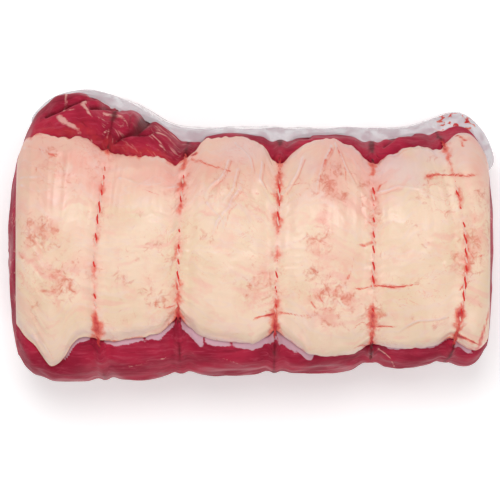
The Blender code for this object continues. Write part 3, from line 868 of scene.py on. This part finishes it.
def thread_faces(rows, closed, start):
    count, sides = rows.shape[:2]
    corner = start + np.arange(count * sides).reshape(count, sides)
    beside = np.roll(corner, -1, axis=1)
    ahead, ahead_beside = np.roll(corner, -1, axis=0), np.roll(beside, -1, axis=0)
    last = count if closed else count - 1
    quads = np.stack([corner, ahead, ahead_beside, beside], axis=-1)[:last].reshape(-1, 4).tolist()
    return quads if closed else quads + [corner[0].tolist(), corner[-1, ::-1].tolist()]


print("threads:", round(2 * (THREAD + THREAD_OFFSET) / MM, 1), "mm over both")


# %% One mesh for the twine of a loop
def soak_at(points):
    """How much blood the twine has taken up: little on the fat, most where it lies on bare muscle."""
    angle = np.arctan2(points[:, 2] - AXIS_Z, points[:, 1] - AXIS_Y)
    panels = np.interp(points[:, 0], crown_x, cap_rows)
    back = np.interp(panels, cap_rows, cap_edge[:, 0])
    front = np.interp(panels, cap_rows, cap_edge[:, 1])
    past = np.maximum(back - angle, angle - front) * EDGE_REACH
    past = np.where(angle < -math.pi / 2, 40 * MM, past)
    bare = ease(past, -4 * MM, 2 * MM)
    return 0.6 * ease(past, -18 * MM, -5 * MM) + 0.37 * bare - 0.35 * ease(past, 22 * MM, 50 * MM)


def twine_mesh(name, runs):
    """One mesh of several twisted runs; each run is a path, whether it closes, and its length."""
    points, faces, colours = [], [], []
    start = 0
    for path, closed, length in runs:
        twists = max(1, round(length / TWIST_PITCH))
        for thread, phase in enumerate((0.0, math.pi)):
            rows = thread_rows(path, closed, twists, phase)
            made = thread_faces(rows, closed, start)
            start += rows.shape[0] * rows.shape[1]
            points.append(rows.reshape(-1, 3))
            faces += made
            colours += [thread] * len(made)
    mesh = bpy.data.meshes.new(name)
    points = np.concatenate(points)
    mesh.from_pydata(points.tolist(), [], faces)
    mesh.polygons.foreach_set("material_index", colours)
    return finished(mesh, {"soaked": soak_at(points)})


print("pitch of the twist, in mm:", TWIST_PITCH / MM)

# %% Knots
KNOT_ANGLE = math.radians(203)
KNOT_LIFT = 0.9 * MM
KNOT_UNIT = 0.828 * MM  # its strand reaches three of these from its middle
KNOT_LENGTH = 24 * MM


def knot_runs(number):
    """A small overhand knot low on the front, and its two cut tails."""
    reach = loop_reach(number, KNOT_ANGLE) + KNOT_LIFT
    middle = placed(np.array(loop_x(number, KNOT_ANGLE)), np.array(KNOT_ANGLE), reach)
    out = np.array([0, math.cos(KNOT_ANGLE), math.sin(KNOT_ANGLE)])
    down = np.array([0, -out[2], out[1]])
    wide = np.array([1.0, 0, 0])
    turn = np.linspace(0, 2 * math.pi, 60, endpoint=False)[:, None]
    across = (np.sin(turn) + 2 * np.sin(2 * turn)) * wide
    lengthways = 1.1 * (np.cos(turn) - 2 * np.cos(2 * turn)) * down
    knot = middle + KNOT_UNIT * (across + lengthways - 0.9 * np.sin(3 * turn) * out)
    runs = [(knot, True, KNOT_LENGTH)]
    random = np.random.default_rng(70 + number)
    for side in (-1, 1):
        share = np.linspace(0, 1, 26)[:, None]
        length = random.uniform(7, 11) * MM
        curl = random.uniform(2, 5) * MM
        tail = middle + share * length * (down + 0.7 * side * wide) + out * 0.3 * MM
        tail = tail + curl * share**2 * side * wide - 2.2 * MM * share**2 * out
        tail[:, 2] = np.maximum(tail[:, 2], THREAD * 2)
        runs.append((tail, False, length))
    return runs


print("width of a knot, in mm:", round(6 * KNOT_UNIT / MM, 1))

# %% Tie the loops
twines, lengths = [], []
for number, node in enumerate(LOOPS):
    path, length = loop_points(number)
    piece = twine_mesh(f"tied_{node}", [(path, True, length)] + knot_runs(number))
    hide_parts(node)
    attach(piece, "root")
    twines.append(piece)
    lengths.append(round(length / MM))
print("loop lengths, in mm:", lengths)

# %% [markdown]
# ## The trimmed film
#
# The bag was shrunk tight round the joint and its seal was trimmed along the back. What is left leaves
# the meat half way up, runs out to its line as a milky ledge, and then turns down and hangs as a clear,
# rippled skirt. It is one thin closed sheet, and its material lets the meat show through.

# %% Read the film's line from its solid, and ripple it
film_tree = tree_of("film")
film_corners = solid("film")[0]
film_turn = np.arctan2(film_corners[:, 1] - AXIS_Y, film_corners[:, 0])
SKIRT_AT = 30 * MM  # height at which its line is read


def film_outline(count):
    """The outer line of the film seen from above, at evenly spaced turns round the joint's middle."""
    line = []
    for turn in np.linspace(film_turn.max(), film_turn.min(), count):
        way = Vector((math.cos(turn), math.sin(turn), 0))
        hit = film_tree.ray_cast(Vector((0, AXIS_Y, SKIRT_AT)) + FAR * way, -way, FAR)
        if hit[0] is not None:
            line.append((hit[0].x, hit[0].y))
    return np.array(line)


LEDGE_ROWS, SKIRT_ROWS = 14, 26
outline = blur(film_outline(420), 4, 0)
step = np.gradient(outline, axis=0)
outward = unit(np.stack([-step[:, 1], step[:, 0]], axis=1))
outward *= np.sign((outward * (outline - [0, AXIS_Y])).sum(axis=1))[:, None]
print("film's line, in mm:", round(float(np.linalg.norm(np.diff(outline, axis=0), axis=1).sum() / MM)))

# %% Where the film leaves the joint
LEAVES_AT = 45 * MM  # its height there
TURNS_AT = 38 * MM  # height at which it turns down
HEM_AT = 1.5 * MM
FILM = 0.2 * MM  # its thickness, with the wrinkles that it holds
RAY_START = 5 * MM


def gap_to_joint(place, way):
    """How far in from the film's line the joint's skin is, at the height where the film leaves it."""
    gaps = []
    for tree in trees.values():
        start = Vector((*(place + RAY_START * way), LEAVES_AT))
        hit = tree.ray_cast(start, Vector((-way[0], -way[1], 0)), 25 * MM)
        if hit[0] is not None:
            gaps.append(hit[3] - RAY_START)
    return min(gaps, default=8 * MM)


gaps = np.array([gap_to_joint(place, way) for place, way in zip(outline, outward)])
gaps = blur(gaps[:, None], 3, 0)
print("width of the ledge, in mm:", np.round([gaps.min() / MM, gaps.max() / MM], 1))

# %% Its ledge and its skirt
ledge = np.linspace(0, 1, LEDGE_ROWS)[None, :]
skirt = np.linspace(0, 1, SKIRT_ROWS + 1)[None, 1:]
film_shape = (len(outline), LEDGE_ROWS + SKIRT_ROWS)
ripple = bumps(film_shape, 10, 7, 61)
crinkle = bumps(film_shape, 5, 3, 62)
edge_wave = 0.7 * MM * wavy_line(len(outline), 9, 63)[:, None]
spread = np.sin(ledge * math.pi / 2)
inset = (gaps + 0.8 * MM) * (1 - spread) - edge_wave * ledge
inset = np.concatenate([inset, -edge_wave * (1 - skirt)], axis=1)
height = np.concatenate([
    LEAVES_AT - (LEAVES_AT - TURNS_AT) * ledge**1.6,
    TURNS_AT - (TURNS_AT - HEM_AT) * skirt,
], axis=1)
on_ledge = np.zeros_like(ledge)
loose = np.concatenate([on_ledge, ease(skirt, 0, 0.35)], axis=1)
spread = np.concatenate([spread, np.ones_like(skirt)], axis=1)
clings = 1 - ease(outline[:, :1], -75 * MM, -48 * MM)  # it hugs the shoulder and hangs free of the rest
waves = (0.6 + 0.9 * ripple) * (1 - 0.6 * clings) + 0.35 * crinkle
inset = inset - waves * MM * loose + 1.5 * MM * clings * spread
height = height + 0.8 * MM * ripple * (1 - loose)
place = np.arange(len(outline))[:, None]
ends = np.maximum(ease(place, 12, 0), ease(place, len(outline) - 18, len(outline) - 1)) ** 2
inset = inset + (gaps + 0.6 * MM - inset) * ends  # its two ends run in to the joint
sheet_sides = []
for thickness in (0.0, FILM):
    flat = outline[:, None] - outward[:, None] * (inset - thickness * loose)[..., None]
    raised = np.maximum(height + thickness * (1 - loose), HEM_AT / 2)
    sheet_sides.append(np.concatenate([flat, raised[..., None]], axis=-1))
film_points = np.concatenate([sheet_sides[0], sheet_sides[1][:, ::-1]], axis=1)
print("film stands out to, in mm:", round(float(film_points[..., 1].max() / MM), 1))


# %% The film's mesh
def both_sides(mask):
    return np.concatenate([mask, mask[:, ::-1]], axis=1)


film_x = outline[:, :1]
spill = ease(film_x, 82 * MM, 96 * MM) * (1 - ease(film_x, 106 * MM, 114 * MM)) * (1 - loose)
hanging = np.concatenate([on_ledge, ease(skirt, 0, 0.12)], axis=1)
hanging = np.broadcast_to(hanging, film_shape)
film_masks = {"skirt": both_sides(hanging), "spill": both_sides(spill)}
film = tube_mesh("film_edge", film_points, film_masks)
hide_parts("film")
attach(film, "root")

# %% [markdown]
# ## Shared effects
#
# Three effects serve more than one material, so each is a node group: uneven noise that breaks a
# painted mask's edge, a blood stain that goes from pink to nearly black as it gets stronger, and the
# moist skin, whose uneven gloss and faint bumps are what makes raw meat look wet.

# %% Helpers for nodes
def new_group(name, inputs, outputs):
    group = bpy.data.node_groups.new(name, "ShaderNodeTree")
    for label, kind, value in inputs:
        socket = group.interface.new_socket(label, in_out="INPUT", socket_type=kind)
        socket.default_value = value
    for label, kind in outputs:
        group.interface.new_socket(label, in_out="OUTPUT", socket_type=kind)
    return group, group.nodes.new("NodeGroupInput").outputs, group.nodes.new("NodeGroupOutput").inputs


def fill(tree, node, values):
    """Sets each named input to a value, or links it to another node's output."""
    for name, value in values.items():
        if isinstance(value, bpy.types.NodeSocket):
            tree.links.new(value, node.inputs[name])
        else:
            node.inputs[name].default_value = value


def put(tree, kind, values=None, **settings):
    """Adds a node, sets its properties, and fills or links its inputs."""
    node = tree.nodes.new(kind)
    for name, value in settings.items():
        setattr(node, name, value)
    fill(tree, node, values or {})
    return node


def maths(tree, operation, first, second=0.0, clamp=False):
    node = put(tree, "ShaderNodeMath", {0: first, 1: second}, operation=operation, use_clamp=clamp)
    return node.outputs[0]


def times(tree, first, second):
    return maths(tree, "MULTIPLY", first, second)


def between(tree, share, first, second):
    """A value this share of the way from the first to the second."""
    return put(tree, "ShaderNodeMix", {0: share, 2: first, 3: second}, data_type="FLOAT").outputs[0]


def painted(tree, colour, layers):
    """Lays paints over a colour, one after another, each by its own amount."""
    for amount, paint in layers:
        values = {0: amount, 6: colour, 7: paint}
        colour = put(tree, "ShaderNodeMix", values, data_type="RGBA").outputs[2]
    return colour


def object_place(tree):
    return put(tree, "ShaderNodeTexCoord").outputs["Object"]


def drawn_out(tree, where, scale):
    """Places squeezed by this scale, so that a noise read there is drawn out."""
    return put(tree, "ShaderNodeMapping", {"Vector": where, "Scale": scale}).outputs["Vector"]


def noise_of(tree, where, scale, detail=3.0, rough=0.5, distortion=0.0):
    values = {"Vector": where, "Scale": scale, "Detail": detail, "Roughness": rough}
    values["Distortion"] = distortion
    return put(tree, "ShaderNodeTexNoise", values).outputs["Fac"]


def span(tree, value, start, stop, low_out=0.0, high_out=1.0):
    """Maps a value from one span to another, smoothly and clamped."""
    values = {"Value": value, "From Min": start, "From Max": stop, "To Min": low_out, "To Max": high_out}
    return put(tree, "ShaderNodeMapRange", values, interpolation_type="SMOOTHSTEP").outputs["Result"]


def veins_of(tree, noise, half, core):
    """Thin wandering lines, where a noise crosses its middle value."""
    off_middle = maths(tree, "ABSOLUTE", maths(tree, "SUBTRACT", noise, 0.5))
    return span(tree, off_middle, half, core)


def mask_of(tree, name):
    return put(tree, "ShaderNodeAttribute", attribute_name=name).outputs["Fac"]


def srgb(red, green, blue):
    """A colour given on the 0 to 255 scale, turned to the linear values that nodes use."""
    linear = []
    for part in (red, green, blue):
        part = part / 255
        linear.append(part / 12.92 if part <= 0.04045 else ((part + 0.055) / 1.055) ** 2.4)
    return (*linear, 1.0)


print("middle grey in linear values:", round(srgb(128, 128, 128)[0], 3))

# %% The broken edge
broken, inlet, outlet = new_group(
    "broken edge",
    [
        ("Mask", "NodeSocketFloat", 0.0),
        ("Scale", "NodeSocketFloat", 300.0),
        ("Break", "NodeSocketFloat", 0.6),
    ],
    [("Mask", "NodeSocketFloat")],
)
rough = noise_of(broken, object_place(broken), inlet["Scale"], detail=4.0, rough=0.6)
shifted = times(broken, maths(broken, "SUBTRACT", rough, 0.5), inlet["Break"])
faded = times(broken, times(broken, shifted, 2.0), span(broken, inlet["Mask"], 0.0, 0.25))
broken.links.new(maths(broken, "ADD", inlet["Mask"], faded, clamp=True), outlet["Mask"])


def broken_mask(tree, name, scale, amount):
    values = {"Mask": mask_of(tree, name), "Scale": scale, "Break": amount}
    return put(tree, "ShaderNodeGroup", values, node_tree=broken).outputs["Mask"]


print(broken.name, "has", len(broken.nodes), "nodes")

# %% The blood stain
PALE_BLOOD_AND_SHADE = srgb(233, 120, 100)
FRESH_BLOOD = srgb(196, 36, 44)
DARK_BLOOD_AND_SHADE = srgb(96, 6, 20)
stain, inlet, outlet = new_group(
    "blood stain",
    [("Color", "NodeSocketColor", (1, 1, 1, 1)), ("Amount", "NodeSocketFloat", 0.0)],
    [("Color", "NodeSocketColor")],
)
stained_colour = painted(stain, inlet["Color"], [
    (span(stain, inlet["Amount"], 0.08, 0.45), PALE_BLOOD_AND_SHADE),
    (span(stain, inlet["Amount"], 0.35, 0.8), FRESH_BLOOD),
    (span(stain, inlet["Amount"], 0.8, 1.05), DARK_BLOOD_AND_SHADE),
])
stain.links.new(stained_colour, outlet["Color"])


def stained(tree, colour, amount):
    values = {"Color": colour, "Amount": amount}
    return put(tree, "ShaderNodeGroup", values, node_tree=stain).outputs["Color"]


print(stain.name, "has", len(stain.nodes), "nodes")

# %% The moist skin
BUMP_HEIGHT = 0.8 * MM
moist, inlet, outlet = new_group(
    "moist skin",
    [
        ("Dry Roughness", "NodeSocketFloat", 0.55),
        ("Wet Roughness", "NodeSocketFloat", 0.22),
        ("Bump", "NodeSocketFloat", 0.2),
        ("Grain", "NodeSocketFloat", 600.0),
    ],
    [("Roughness", "NodeSocketFloat"), ("Normal", "NodeSocketVector")],
)
where = object_place(moist)
wet = span(moist, noise_of(moist, where, 60.0), 0.38, 0.66)
gloss = between(moist, wet, inlet["Dry Roughness"], inlet["Wet Roughness"])
moist.links.new(gloss, outlet["Roughness"])
pores = noise_of(moist, where, inlet["Grain"], detail=2.0, rough=0.45)
swells = noise_of(moist, where, 140.0, detail=2.0)
height = maths(moist, "ADD", times(moist, pores, 0.35), swells)
values = {"Strength": inlet["Bump"], "Distance": BUMP_HEIGHT, "Height": height}
moist.links.new(put(moist, "ShaderNodeBump", values).outputs["Normal"], outlet["Normal"])
print(moist.name, "has", len(moist.nodes), "nodes")


# %% Start a material, and wet it
def new_material(name, piece):
    material = bpy.data.materials.new(name)
    material.use_nodes = True
    piece.data.materials.append(material)
    return material, material.node_tree, material.node_tree.nodes["Principled BSDF"]


def moisten(tree, shader, dry, wet, bump, grain):
    """Gives a shader the moist skin: its two roughnesses, and how strong and fine its bumps are."""
    values = {"Dry Roughness": dry, "Wet Roughness": wet, "Bump": bump, "Grain": grain}
    skin = put(tree, "ShaderNodeGroup", values, node_tree=moist)
    fill(tree, shader, {name: skin.outputs[name] for name in ("Roughness", "Normal")})


print("groups ready:", len(bpy.data.node_groups))


# %% [markdown]
# ## Fat
#
# Cold beef fat is cream with slightly yellower patches, and pinker where it is thin. The stains
# painted on the mesh are laid over it, with noise to break their edges, and so are a painted sheen on
# the pale patches and a painted shadow at the foot of each fold. Fine vessels and two sizes of dried
# spots are noise alone, as nobody could tell where each of them was.

# %% The fat's material
CREAM = srgb(247, 215, 189)
YELLOW_FAT = srgb(240, 209, 178)
PINK_FAT = srgb(244, 184, 168)
WHITE_FAT_AND_SHEEN = srgb(240, 208, 202)
LILAC = srgb(216, 178, 190)
SPOT = srgb(218, 110, 84)
BLUSH = srgb(240, 158, 140)

material, tree, shader = new_material("cold fat", fat)
where = object_place(tree)
yellower = noise_of(tree, where, 45.0)
uneven = noise_of(tree, where, 130.0, detail=4.0, rough=0.6, distortion=0.5)
wrinkled = mask_of(tree, "wrinkle")
folds_and_shadows = mask_of(tree, "fold")
mottled = mask_of(tree, "mottle")
vessels = veins_of(tree, noise_of(tree, where, 80.0, detail=4.0, rough=0.6, distortion=1.5), 0.012, 0.0)
patchy = span(tree, noise_of(tree, where, 40.0, detail=2.0), 0.5, 0.68, 0.0, 0.45)
cloud = noise_of(tree, where, 110.0, detail=4.0, rough=0.65, distortion=0.6)
colour = painted(tree, CREAM, [
    (span(tree, yellower, 0.40, 0.66), YELLOW_FAT),
    (span(tree, uneven, 0.48, 0.72, 0.0, 0.45), PINK_FAT),
    (broken_mask(tree, "flush", 120.0, 0.5), PINK_FAT),
    # Painted sheen on the pale patches.
    (times(tree, mask_of(tree, "painted_sheen"), 0.8), WHITE_FAT_AND_SHEEN),
    (span(tree, wrinkled, 0.8, 1.0, 0.0, 0.3), WHITE_FAT_AND_SHEEN),
    (span(tree, wrinkled, 0.3, -0.2, 0.0, 0.5), PINK_FAT),
    (span(tree, folds_and_shadows, 0.1, 0.75, 0.0, 0.85), WHITE_FAT_AND_SHEEN),
    # Painted shadow at the foot of each fold.
    (span(tree, folds_and_shadows, -0.08, -0.6, 0.0, 0.65), PALE_BLOOD_AND_SHADE),
    (times(tree, broken_mask(tree, "silver", 200.0, 0.6), 0.7), LILAC),
    (times(tree, vessels, patchy), PALE_BLOOD_AND_SHADE),
    (times(tree, span(tree, cloud, 0.45, 0.65, 0.0, 0.65), mottled), BLUSH),
])
clumps = noise_of(tree, where, 70.0, detail=2.0)
gathering = maths(tree, "ADD", times(tree, clumps, 0.6), times(tree, mottled, 0.15))
for scale, strength in ((190.0, 0.8), (340.0, 0.6)):
    spots = noise_of(tree, where, scale, detail=5.0, rough=0.6, distortion=0.9)
    spots = maths(tree, "ADD", spots, gathering)
    colour = painted(tree, colour, [(span(tree, spots, 0.93, 1.18, 0.0, strength), SPOT)])
colour = stained(tree, colour, broken_mask(tree, "blood", 260.0, 0.55))
moisten(tree, shader, dry=0.6, wet=0.36, bump=0.18, grain=700.0)
fill(tree, shader, {
    "Base Color": colour,
    "Subsurface Weight": 0.15,
    "Subsurface Radius": (1.0, 0.55, 0.4),
    "Subsurface Scale": 2 * MM,
})
print(material.name, "has", len(tree.nodes), "nodes")

# %% [markdown]
# ## Muscle
#
# Raw muscle is a deep crimson with paler and darker strands that run along it. Seams and silverskin
# are paler still, the cut ends are marbled, and painted shade, almost black, darkens the creases and the
# twine's grooves. Its gloss is kept low, because a wet crimson turns grey when it mirrors a white room.

# %% The muscle's material
CRIMSON = srgb(186, 40, 68)
DEEP_CRIMSON = srgb(154, 28, 54)
ROSE = srgb(196, 76, 98)
DARK_MEAT = srgb(118, 18, 40)
SEAM_FAT = srgb(234, 174, 164)
ORANGE_RED = srgb(206, 62, 54)
SLANT = math.radians(50)

material, tree, shader = new_material("raw muscle", muscle)
where = object_place(tree)
brighter = noise_of(tree, where, 55.0)
short_grain = drawn_out(tree, where, (0.35, 1.0, 1.0))
grain = noise_of(tree, short_grain, 420.0, detail=4.0, rough=0.6, distortion=0.8)
long_grain = drawn_out(tree, where, (0.14, 1.0, 1.0))
strands = noise_of(tree, long_grain, 300.0, detail=4.0, rough=0.6, distortion=1.0)
on_end = mask_of(tree, "cut_end")
on_side = maths(tree, "SUBTRACT", 1.0, on_end)
turned = put(tree, "ShaderNodeMapping", {"Vector": where, "Rotation": (0, 0, SLANT)}).outputs["Vector"]
slanted = drawn_out(tree, turned, (0.12, 1.0, 1.0))
threads = span(tree, noise_of(tree, slanted, 520.0, rough=0.55), 0.56, 0.66)
threads = times(tree, threads, mask_of(tree, "fibres"))
veins = veins_of(tree, noise_of(tree, where, 42.0, detail=4.0, rough=0.6, distortion=1.6), 0.010, 0.002)
veins = times(tree, veins, span(tree, noise_of(tree, where, 55.0, detail=1.0), 0.46, 0.56))
flecks = span(tree, noise_of(tree, where, 330.0, detail=2.0, distortion=0.5), 0.66, 0.74, 0.0, 0.6)
marbling = times(tree, maths(tree, "ADD", veins, flecks, clamp=True), on_end)
colour = painted(tree, DEEP_CRIMSON, [
    (span(tree, brighter, 0.35, 0.68), CRIMSON),
    (span(tree, grain, 0.5, 0.8, 0.0, 0.5), ROSE),
    (times(tree, span(tree, strands, 0.52, 0.72, 0.0, 0.55), on_side), ROSE),
    (times(tree, span(tree, strands, 0.46, 0.30, 0.0, 0.5), on_side), DARK_MEAT),
    (times(tree, threads, 0.65), SEAM_FAT),
    (times(tree, broken_mask(tree, "tint", 240.0, 0.7), 0.6), ORANGE_RED),
    (span(tree, broken_mask(tree, "silver", 260.0, 0.8), 0.3, 0.6, 0.0, 0.85), LILAC),
    (times(tree, marbling, 0.75), SEAM_FAT),
    (span(tree, broken_mask(tree, "seam", 300.0, 0.8), 0.25, 0.8, 0.0, 0.85), SEAM_FAT),
    # Painted shade, nearly black, in the creases and the twine's grooves.
    (span(tree, broken_mask(tree, "painted_shade", 260.0, 0.4), 0.25, 0.95, 0.0, 0.9), DARK_BLOOD_AND_SHADE),
])
moisten(tree, shader, dry=0.6, wet=0.34, bump=0.3, grain=500.0)
fill(tree, shader, {
    "Base Color": colour,
    "Specular IOR Level": 0.14,
    "IOR": 1.33,
    "Subsurface Weight": 0.1,
    "Subsurface Radius": (1.0, 0.25, 0.2),
    "Subsurface Scale": 1.5 * MM,
})
print(material.name, "has", len(tree.nodes), "nodes")

# %% [markdown]
# ## Twine
#
# Both threads are matt cotton with a fine lay. The white one has soaked up juice, so it is pinkish
# cream and nearly the colour of the fat. Only the red one stands out.

# %% The two threads' materials
WHITE_THREAD = srgb(243, 200, 182)
RED_THREAD = srgb(226, 40, 32)
for name, thread_colour in (("white thread", WHITE_THREAD), ("red thread", RED_THREAD)):
    material, tree, shader = new_material(name, twines[0])
    where = object_place(tree)
    patchy = span(tree, noise_of(tree, where, 90.0), 0.45, 0.7, 0.0, 0.3)
    soaked = maths(tree, "ADD", patchy, mask_of(tree, "soaked"))
    lay = put(tree, "ShaderNodeTexWave", {"Vector": where, "Scale": 900.0, "Distortion": 3.0})
    values = {"Strength": 0.4, "Distance": 0.2 * MM, "Height": lay.outputs["Fac"]}
    fill(tree, shader, {
        "Base Color": stained(tree, thread_colour, soaked),
        "Normal": put(tree, "ShaderNodeBump", values).outputs["Normal"],
        "Roughness": 0.75,
    })
    for piece in twines[1:]:
        piece.data.materials.append(material)
    print(material.name, "has", len(tree.nodes), "nodes")

# %% [markdown]
# ## Film
#
# The film is clear, but on the ledge it is creased and wet inside, so it looks milky grey. The skirt
# shows only its upright crinkles, and a little blood has been spilt at the right-hand back corner. A
# see-through sheet is made with Alpha, which stays cheap to render and keeps its gloss.

# %% The film's material
MILKY = srgb(234, 229, 233)
PINKISH = srgb(214, 194, 201)
material, tree, shader = new_material("clear film", film)
where = object_place(tree)
milky = noise_of(tree, where, 160.0, distortion=0.6)
spilt = span(tree, noise_of(tree, where, 240.0, distortion=1.0), 0.5, 0.62)
spilt = times(tree, spilt, mask_of(tree, "spill"))
upright = drawn_out(tree, where, (1.0, 1.0, 0.15))
crinkles = noise_of(tree, upright, 110.0, detail=4.0, rough=0.6, distortion=0.8)
on_skirt = span(tree, crinkles, 0.45, 0.75, 0.12, 0.36)
cover = between(tree, mask_of(tree, "skirt"), span(tree, milky, 0.3, 0.7, 0.45, 0.75), on_skirt)
colour = painted(tree, MILKY, [(span(tree, milky, 0.35, 0.65), PINKISH)])
fill(tree, shader, {
    "Base Color": stained(tree, colour, times(tree, spilt, 0.8)),
    "Alpha": maths(tree, "ADD", cover, times(tree, spilt, 0.4), clamp=True),
    "Roughness": 0.22,
    "Specular IOR Level": 0.5,
})
print(material.name, "has", len(tree.nodes), "nodes")

# %% [markdown]
# ## Stage, light and camera
#
# A pale floor, a soft lamp above, a weaker one in front and a faint one at each side. The joint is seen
# from straight above, from far enough away that its sides hardly lean.

# %% Floor
FLOOR_DROP = 0.5 * MM
FLOOR_GLOW = 0.35  # lifts the floor to white for the eye, and leaves its shadow
bpy.ops.mesh.primitive_plane_add(size=6, location=(0, 0, -FLOOR_DROP))
floor = bpy.context.object
floor.name = "floor"
material, tree, shader = new_material("pale floor", floor)
fill(tree, shader, {"Base Color": (0.9, 0.9, 0.9, 1), "Roughness": 0.9})
path = put(tree, "ShaderNodeLightPath").outputs
shown = maths(tree, "MAXIMUM", path["Is Camera Ray"], path["Is Glossy Ray"])
shown = maths(tree, "MAXIMUM", shown, path["Is Transmission Ray"])
values = {"Color": (1, 1, 1, 1), "Strength": times(tree, shown, FLOOR_GLOW)}
glow = put(tree, "ShaderNodeEmission", values)
total = put(tree, "ShaderNodeAddShader", {0: shader.outputs["BSDF"], 1: glow.outputs["Emission"]})
tree.links.new(total.outputs[0], tree.nodes["Material Output"].inputs["Surface"])
print("floor, in m:", tuple(floor.dimensions))


# %% Lamps and world
def soft_lamp(name, place, size, power):
    lamp = bpy.data.objects.new(name, bpy.data.lights.new(name, "AREA"))
    lamp.data.shape = "DISK"
    lamp.data.size = size
    lamp.data.energy = power
    lamp.location = place
    lamp.rotation_mode = "QUATERNION"
    lamp.rotation_quaternion = (-Vector(place)).to_track_quat("-Z", "Y")
    bpy.context.scene.collection.objects.link(lamp)


soft_lamp("over", (-0.1, 0.5, 1.5), 0.8, 12.2)
soft_lamp("front", (0.5, -1.3, 0.9), 0.9, 6)
soft_lamp("left", (-1.4, -0.1, 0.8), 0.8, 3)
soft_lamp("right", (1.4, 0.3, 0.8), 0.8, 3)

SKY_LIGHT = 0.3  # on the joint; the camera sees the sky at full strength
world = bpy.data.worlds.new("studio")
bpy.context.scene.world = world
world.use_nodes = True
tree = world.node_tree
seen_directly = put(tree, "ShaderNodeLightPath").outputs["Is Camera Ray"]
strength = span(tree, seen_directly, 0.0, 1.0, SKY_LIGHT, 1.0)
fill(tree, tree.nodes["Background"], {"Color": (1, 1, 1, 1), "Strength": strength})
print("lamps:", len(bpy.data.lights))

# %% Camera, straight above
CAMERA_HEIGHT = 2.6
VIEW_WIDTH = 245 * MM  # at the joint's widest height
SENSOR = 36  # the camera's own unit for this and the lens is the millimetre
widest = 0.45 * high[2]
eye = bpy.data.cameras.new("eye")
eye.sensor_width = SENSOR
eye.lens = SENSOR * (CAMERA_HEIGHT - widest) / VIEW_WIDTH
eye.clip_end = 20
camera = bpy.data.objects.new("eye", eye)
camera.location = (-1.2 * MM, -8.4 * MM, CAMERA_HEIGHT)
bpy.context.scene.collection.objects.link(camera)
bpy.context.scene.camera = camera
bpy.context.scene.view_settings.view_transform = "Standard"
print("focal length:", round(eye.lens))
